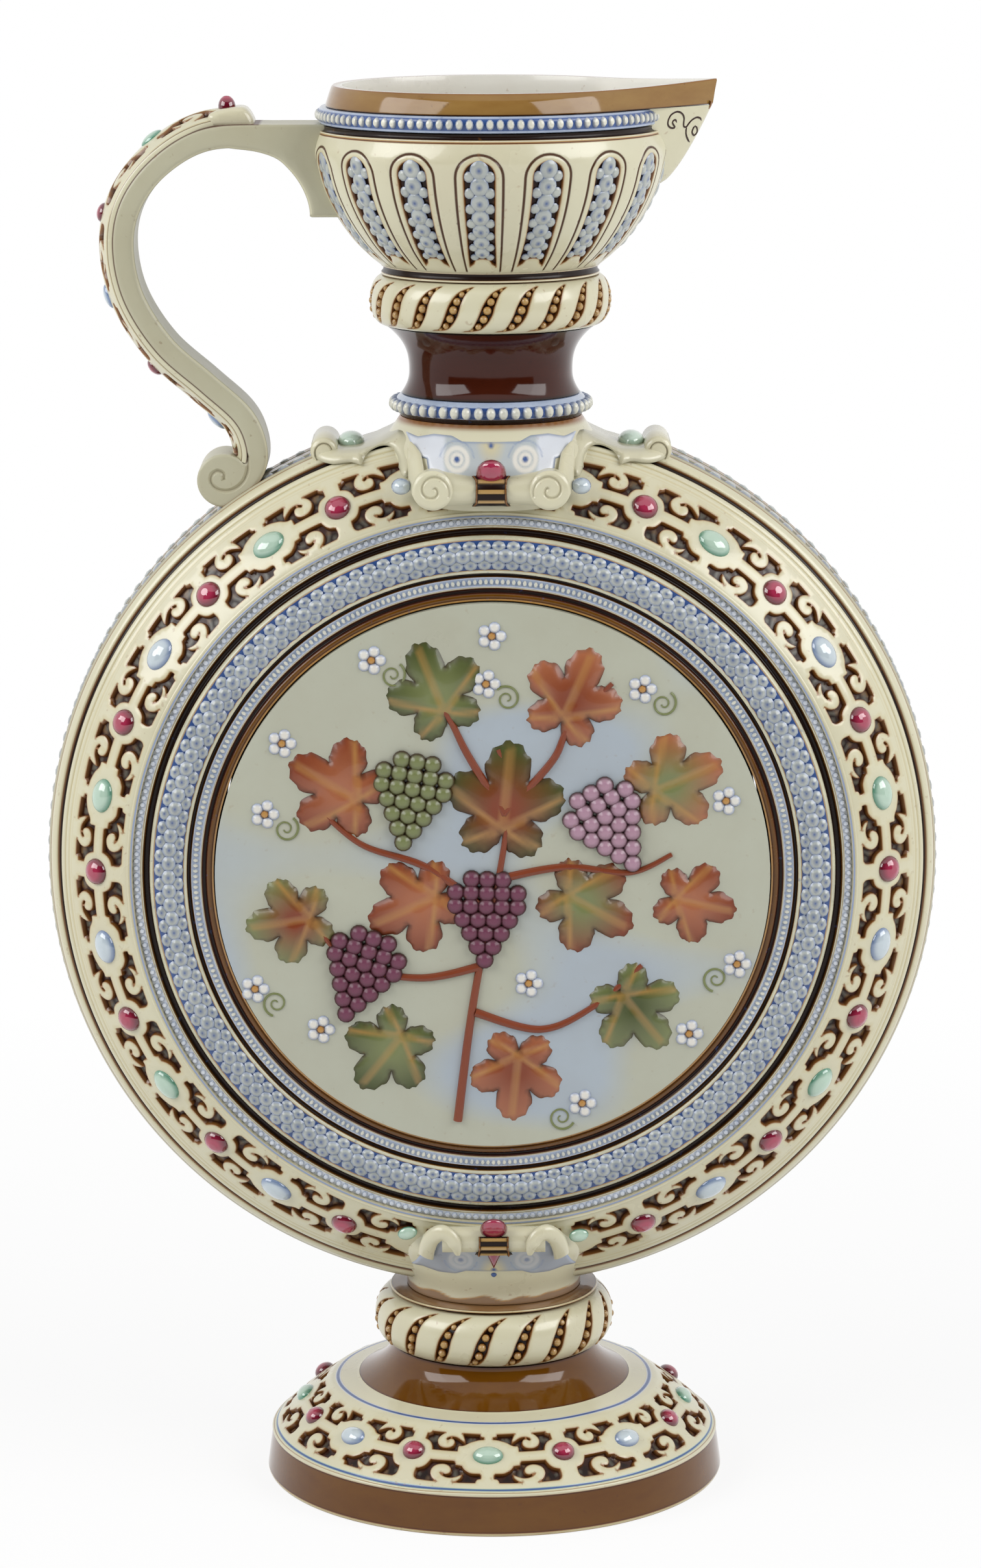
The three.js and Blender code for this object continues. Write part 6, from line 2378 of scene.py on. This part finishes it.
    def boss(self) -> Shape:
        """The rolled block at the strap's end, rounded all round.

        Returns:
            The closed block.
        """
        outline = smooth_line(self.block, 40)
        panel = Panel.cut(evenly(np.concatenate([outline, outline[:1]]), 0.8)[:-1], 1.2, (0.4, 1.1))
        x, z = panel.places.T
        y = 8.6 - 1.3 * np.clip(1 - panel.away / 1.6, 0, 1) ** 2
        return panel.shell(np.stack([x, -y, z], 1), np.stack([x, y, z], 1), Tint.CREAM.linear)

    def build(self) -> None:
        """Makes the scroll, the strap, its jewels and the boss."""
        piece("handle_scroll", self.scroll(), STONE, ["handle"])
        piece("handle_strap_carved", self.strap(), CREAM, ["handle_strap"], 50)
        piece("handle_boss_block", self.boss(), CREAM, ["handle_boss"])
        flask = Flask()
        kinds = {
            "red": (flask.red, [2.0, 4.0]), "green": (flask.green, [1.0]), "ice": (flask.blue, [3.0, 5.0])}
        for kind, (bead, turns) in kinds.items():
            seats = [np.atleast_2d(part) for part in bearings(self.on_strap, np.array(turns), 0.0, -0.5)]
            sizes = [0.74] * len(turns)
            if kind == "red":
                # One more sits on the boss, upright, and its last vector stretches it.
                extra = ((-87.6, 0, 472.6), (0, 1, 0), (1, 0, 0), (-0.05, 0, 1.9))
                seats = [np.concatenate([part, [np.array(one, float)]]) for part, one in zip(seats, extra)]
                sizes.append(0.66)
            jewels = bead.seated(tuple(seats), sizes=np.array(sizes))
            piece(f"strap_{kind}_jewels", jewels, ENAMEL)


@dataclass(frozen=True)
class Medallion:
    """A domed disc with painted clouds and a raised spray of vine leaves, grapes and flowers.

    Places are [across, up] from the disc's middle. The edge is the depth of the disc's rim and
    the dome its rise over it. A leaf is its place, size, heading and two tints, a cluster its
    place, heading and tint, and a cloud the heading and the size of a wave.
    """

    radius: float = 93.0
    edge: float = 42.5
    dome: float = 2.2
    leaves: tuple = (
        (-50, 30, 21, 150, Tint.TERRACOTTA, Tint.RUST), (-18, 62, 20, 112, Tint.OLIVE, Tint.OLIVE_DARK),
        (26, 60, 20, 66, Tint.RUST, Tint.TERRACOTTA), (59, 32, 20, 22, Tint.OLIVE, Tint.TERRACOTTA),
        (66, -8, 17, -14, Tint.TERRACOTTA, Tint.RUST), (47, -44, 19, -52, Tint.OLIVE_DARK, Tint.OLIVE),
        (8, -66, 19, -96, Tint.RUST, Tint.TERRACOTTA), (-34, -58, 19, -128, Tint.OLIVE, Tint.OLIVE_DARK),
        (-66, -14, 18, 190, Tint.RUST, Tint.OLIVE), (4, 24, 24, 84, Tint.RUST, Tint.OLIVE_DARK),
        (-24, -8, 20, 205, Tint.TERRACOTTA, Tint.RUST), (30, -8, 20, -30, Tint.OLIVE, Tint.RUST))
    clusters: tuple = (
        (-2, -6, -92, Tint.PLUM), (36, 24, -60, Tint.PLUM_PALE), (-42, -26, -110, Tint.PLUM),
        (-26, 34, -100, Tint.OLIVE))
    stems: tuple = (
        ((-12, -84), (-8, -52), (-4, -28), (2, 0), (6, 30), (2, 44)),
        ((-4, -30), (-24, -34), (-46, -30), (-58, -18)),
        ((0, -12), (-22, 4), (-44, 12), (-60, 26)),
        ((2, 0), (24, 4), (46, 2), (60, 8)),
        ((-6, -46), (16, -52), (34, -44), (50, -30)),
        ((4, 22), (-8, 42), (-14, 54), (-22, 66)),
        ((4, 22), (20, 40), (26, 52), (40, 66)))
    flowers: tuple = (
        (-76, 22), (-70, 46), (-40, 74), (0, 82), (50, 64), (78, 26), (82, -30), (66, -54), (30, -78),
        (-58, -52), (-80, -38), (12, -36), (-2, 66))
    clouds: tuple = ((0.4, 17), (1.9, 13), (2.9, 21), (4.4, 9), (5.3, 15))

    def place(self, u: np.ndarray, v: np.ndarray, rise: np.ndarray | float) -> np.ndarray:
        """Points on the dome: its depth falls by the square of the way to its edge.

        Args:
            u: places across.
            v: places up.
            rise: distances off the dome.

        Returns:
            The points.
        """
        u, v, rise = np.broadcast_arrays(u, v, rise)
        share = np.hypot(u, v) / self.radius
        return np.stack([u, -(self.edge + self.dome * (1 - share**2) + rise), FLASK_HEIGHT + v], -1)

    def field(self) -> Shape:
        """The disc, its pale ground clouded with blue by slow sines of both directions.

        Returns:
            The closed disc.
        """
        radius = np.linspace(0.3, self.radius, 60)[:, None]
        turn = np.radians(even_turns(144))[None]
        u, v = radius * np.cos(turn), radius * np.sin(turn)
        cloud = sum(np.sin((u * math.cos(a) + v * math.sin(a)) / size + a * 3) for a, size in self.clouds)
        tints = mixed(Tint.FIELD.linear, np.clip((cloud - 0.4) / 1.8, 0, 0.8)[..., None], Tint.CLOUD)
        loops = np.concatenate([self.place(u, v, 0.0), self.place(u[::-1], v[::-1], -4.5)[:1]])
        return lofted(loops, np.concatenate([tints, tints[-1:]]))

    @staticmethod
    def leaf() -> tuple[Panel, np.ndarray, np.ndarray]:
        """A five-lobed leaf of radius 1: a power of a cosine makes the lobes, a sine the teeth.

        Returns:
            Its net, and for each place the share of a vein and of the edge.
        """
        turn = np.linspace(-math.pi, math.pi, 121)[:-1]
        lobes = 0.5 + 0.5 * np.abs(np.cos(2.5 * turn)) ** 0.75 + 0.035 * np.sin(turn * 27)
        reach = lobes * (1 - 0.25 * np.abs(turn) / math.pi)
        panel = Panel.cut(np.stack([reach * np.cos(turn), reach * np.sin(turn)], 1), 0.075, (0.025,))
        veins = []
        for angle in np.radians([0, 72, -72, 140, -140]):
            along = 0.82 * (1 - 0.25 * abs(angle) / math.pi) * math.cos(angle)
            veins.append(line_distance(panel.places, np.array([[-0.3, 0], [along, 0.82 * math.sin(angle)]])))
        return panel, np.clip(1 - np.min(veins, axis=0) / 0.07, 0, 1), np.clip(1 - panel.away / 0.05, 0, 1)

    @staticmethod
    def moved(spot: tuple[float, float], heading: float, x: np.ndarray,
              y: np.ndarray) -> tuple[np.ndarray, ...]:
        """Places of a motif turned to a heading in degrees and set down at a spot."""
        c, s = math.cos(math.radians(heading)), math.sin(math.radians(heading))
        return spot[0] + x * c - y * s, spot[1] + x * s + y * c

    def foliage(self) -> list[Shape]:
        """The leaves, each painted from its middle to its edge and then veined and edged.

        Returns:
            A closed shape for each leaf.
        """
        panel, vein, edge = self.leaf()
        made = []
        for order, (u, v, size, heading, inner, outer) in enumerate(self.leaves):
            x, y = (panel.places * size).T
            places = self.moved((u, v), heading, x, y)
            far = np.clip(np.hypot(x, y) / size, 0, 1)
            tints = blended(far, [(0.15, inner), (0.85, outer)])
            tints = mixed(tints, vein[:, None] * 0.6, Tint.HONEY)
            tints = mixed(tints, edge[:, None] * 0.85, Tint.LINE)
            rise = (1.5 + 0.12 * (order % 3)) * (1 - np.exp(-panel.away * size / 1.8))
            rise = rise + 0.5 * np.sin(far * 5) - 0.45 * vein
            made.append(panel.shell(self.place(*places, rise), self.place(*places, -0.8), tints))
        return made

    def spray(self) -> list[Shape]:
        """Leaves, stems and tendrils.

        Returns:
            A closed shape for each.
        """
        made = self.foliage()
        turn, forwards = np.radians(even_turns(8)), np.array([0, -1.0, 0])
        section = np.stack([np.cos(turn), np.sin(turn)], 1)
        for stem in self.stems:
            line = self.place(*smooth_line(stem, 40).T, 0.3)
            made.append(strip(line, forwards, section, Tint.RUST.linear, np.linspace(1.5, 0.8, 40)))
        for u, v in self.flowers[::2]:
            # A tendril curls beside its flower, on the inner side where the frame is near.
            side = 7 if math.hypot(u + 7, v - 5) < self.radius - 7 else -7
            curl = self.place(*spiral((u + side, v - 5), (0.6, 4.5), 40 * u, 1.6, 50).T, 0.1)
            made.append(strip(curl, forwards, section * 0.45, Tint.OLIVE.linear, np.linspace(0.5, 1, 50)))
        return made

    def fruit(self) -> list[Shape]:
        """Clusters of grapes in rows of up to five, and flowers of five petals.

        Returns:
            A shape for each cluster, one for all petals and one for all hearts.
        """
        counts = np.array([3, 5, 5, 4, 3, 2, 1])
        down = np.repeat(np.arange(len(counts)), counts)
        across = np.concatenate([np.arange(count) - (count - 1) / 2 for count in counts])
        made = []
        for u, v, heading, tint in self.clusters:
            spots = self.moved((u, v), heading, down * 4.6 - 6, across * 5.2)
            grape = Bead(6.2, 6.2, 2.2, tint, Tint.LINE, 14, 5, shine=0.6)
            made.append(grape.seated(bearings(self.place, *spots, 0.9 - 0.16 * np.abs(across))))
        turn = np.radians(even_turns(5))
        u, v = np.array(self.flowers, float).T[..., None]
        petals = bearings(self.place, (u + 3.0 * np.cos(turn)).ravel(), (v + 3.0 * np.sin(turn)).ravel(), 0.0)
        made.append(Bead(4.0, 4.0, 1.0, Tint.WHITE, Tint.PERIWINKLE, 10, 4).seated(petals))
        hearts = bearings(self.place, u.ravel(), v.ravel(), 0.0)
        made.append(Bead(2.8, 2.8, 1.5, Tint.HONEY, Tint.AMBER, 8, 3).seated(hearts))
        return made

    def build(self) -> None:
        """Makes the disc and what is raised on it, on both faces."""
        both("medallion_disc", self.field(), CLAY, "{}_medallion")
        both("medallion_spray", Shape.joined(self.spray()), CLAY)
        both("medallion_fruit", Shape.joined(self.fruit()), CLAY)


@dataclass(frozen=True)
class Studio:
    """A white room with two large soft lamps in front, and the photograph's camera, in metres."""

    lens: float = 116.69
    place: tuple[float, float, float] = (-0.00057, -1.7042, 0.5859)
    pitch: float = 78.60
    roll: float = -0.196
    lamp_size: tuple[float, float] = (1.3, 0.8)
    lamp_distance: float = 1.6
    lamp_turn: float = 60
    lamp_rise: float = 30
    lamp_power: float = 17.5
    fill: float = 0.46

    def camera(self) -> None:
        """Sets the camera, turned down by its pitch and then rolled about its own view."""
        data = bpy.data.cameras.new("camera")
        data.lens, data.sensor_width = self.lens, 36
        camera = bpy.data.objects.new("camera", data)
        rolled = Matrix.Rotation(math.radians(self.roll), 3, "Z")
        turned = Euler((math.radians(self.pitch), 0, 0)).to_matrix() @ rolled
        camera.matrix_world = Matrix.Translation(self.place) @ turned.to_4x4()
        bpy.context.scene.collection.objects.link(camera)
        bpy.context.scene.camera = camera

    def lamps(self) -> None:
        """Sets two oblong lamps that face the jug from the left and the right of the camera."""
        target = Vector((0, 0, 0.25))
        for side, name in ((-1, "left_lamp"), (1, "right_lamp")):
            data = bpy.data.lights.new(name, "AREA")
            data.shape, data.energy = "RECTANGLE", self.lamp_power
            data.size, data.size_y = self.lamp_size
            turn, rise = math.radians(self.lamp_turn) * side, math.radians(self.lamp_rise)
            away = Vector((math.sin(turn) * math.cos(rise), -math.cos(turn) * math.cos(rise), math.sin(rise)))
            lamp = bpy.data.objects.new(name, data)
            lamp.location = target + away * self.lamp_distance
            lamp.rotation_euler = (-away).to_track_quat("-Z", "Y").to_euler()
            bpy.context.scene.collection.objects.link(lamp)

    @staticmethod
    def seen(tree: bpy.types.NodeTree) -> bpy.types.NodeSocket:
        """Tells the rays that the eye follows, straight or by way of gloss or glass, from light.

        Args:
            tree: the node tree that gets the nodes.

        Returns:
            The socket that is 1 for such rays and 0 for light on the jug.
        """
        ray = add(tree, "ShaderNodeLightPath").outputs
        shown = ray["Is Camera Ray"]
        for kind in ("Is Glossy Ray", "Is Transmission Ray"):
            shown = add(tree, "ShaderNodeMath", {0: shown, 1: ray[kind]}, operation="MAXIMUM").outputs[0]
        return shown

    def room(self) -> None:
        """Sets a world that is white to the eye and in reflections, and dimmer as a lamp."""
        world = bpy.data.worlds.new("white_room")
        tree = emptied(world)
        power = add(tree, "ShaderNodeMapRange", {
            "Value": self.seen(tree), "To Min": self.fill, "To Max": 1.0})
        light = add(tree, "ShaderNodeBackground", {"Color": (1, 1, 1, 1), "Strength": power.outputs[0]})
        add(tree, "ShaderNodeOutputWorld", {"Surface": light.outputs[0]})
        bpy.context.scene.world = world

    def floor(self) -> None:
        """Sets a white paper floor that keeps some of the shadow near the foot."""
        material = bpy.data.materials.new("white_paper_floor")
        tree = emptied(material)
        place = add(tree, "ShaderNodeTexCoord")
        away = add(tree, "ShaderNodeVectorMath", {0: place.outputs["Object"]}, operation="LENGTH")
        # Near the foot the paper keeps some of the shadow; 0.7 m away it is plain white.
        white = add(tree, "ShaderNodeMapRange", {
            "Value": away.outputs["Value"], "From Min": 0.2, "From Max": 0.7, "To Min": 0.86, "To Max": 1.0})
        shown = add(tree, "ShaderNodeMath", {0: self.seen(tree), 1: white.outputs[0]}, operation="MULTIPLY")
        paper = add(tree, "ShaderNodeBsdfDiffuse", {"Color": (0.9, 0.9, 0.9, 1)})
        glow = add(tree, "ShaderNodeEmission", {"Color": (1, 1, 1, 1), "Strength": 1.0})
        surface = add(tree, "ShaderNodeMixShader", {
            0: shown.outputs[0], 1: paper.outputs[0], 2: glow.outputs[0]})
        add(tree, "ShaderNodeOutputMaterial", {"Surface": surface.outputs[0]})
        mesh = bpy.data.meshes.new("floor")
        mesh.from_pydata([(-6, -6, 0), (6, -6, 0), (6, 6, 0), (-6, 6, 0)], [], [(0, 1, 2, 3)])
        mesh.materials.append(material)
        floor = bpy.data.objects.new("floor", mesh)
        floor.location.z = -0.0002
        bpy.context.scene.collection.objects.link(floor)

    def flag(self) -> None:
        """Sets a dark card behind the camera, seen only in reflections, as a photographer sets one."""
        material = bpy.data.materials.new("dark_card")
        tree = emptied(material)
        card = add(tree, "ShaderNodeBsdfDiffuse", {"Color": (0.03, 0.03, 0.03, 1)})
        add(tree, "ShaderNodeOutputMaterial", {"Surface": card.outputs[0]})
        angle = np.radians(np.linspace(-62, 62, 17))
        low = np.stack([3.2 * np.sin(angle), -3.2 * np.cos(angle), np.zeros(17)], -1)
        points = np.concatenate([low, low + [0, 0, 3.4]])
        mesh = bpy.data.meshes.new("dark_card")
        mesh.from_pydata(points.tolist(), [], [(k, k + 1, k + 18, k + 17) for k in range(16)])
        mesh.materials.append(material)
        flag = bpy.data.objects.new("dark_card", mesh)
        flag.visible_camera = False
        bpy.context.scene.collection.objects.link(flag)

    def build(self) -> None:
        """Sets the camera, the lamps, the room with its floor, and the card."""
        bpy.context.scene.view_settings.view_transform = "Standard"
        self.camera()
        self.lamps()
        self.room()
        self.floor()
        self.flag()


def main() -> None:
    """Builds the jug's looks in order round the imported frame."""
    logging.basicConfig(level=logging.INFO, format="%(name)s %(message)s")
    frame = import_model()
    LOG.info("frame with %d nodes", len(frame["nodes"]))
    Studio().build()
    Flask().build()
    FrameRing().build()
    Foot().build()
    Mouth().build()
    UPPER.build()
    LOWER.build()
    LOWER.pendant()
    Arms().build()
    Handle().build()
    Medallion().build()


if __name__ == "__main__":
    main()
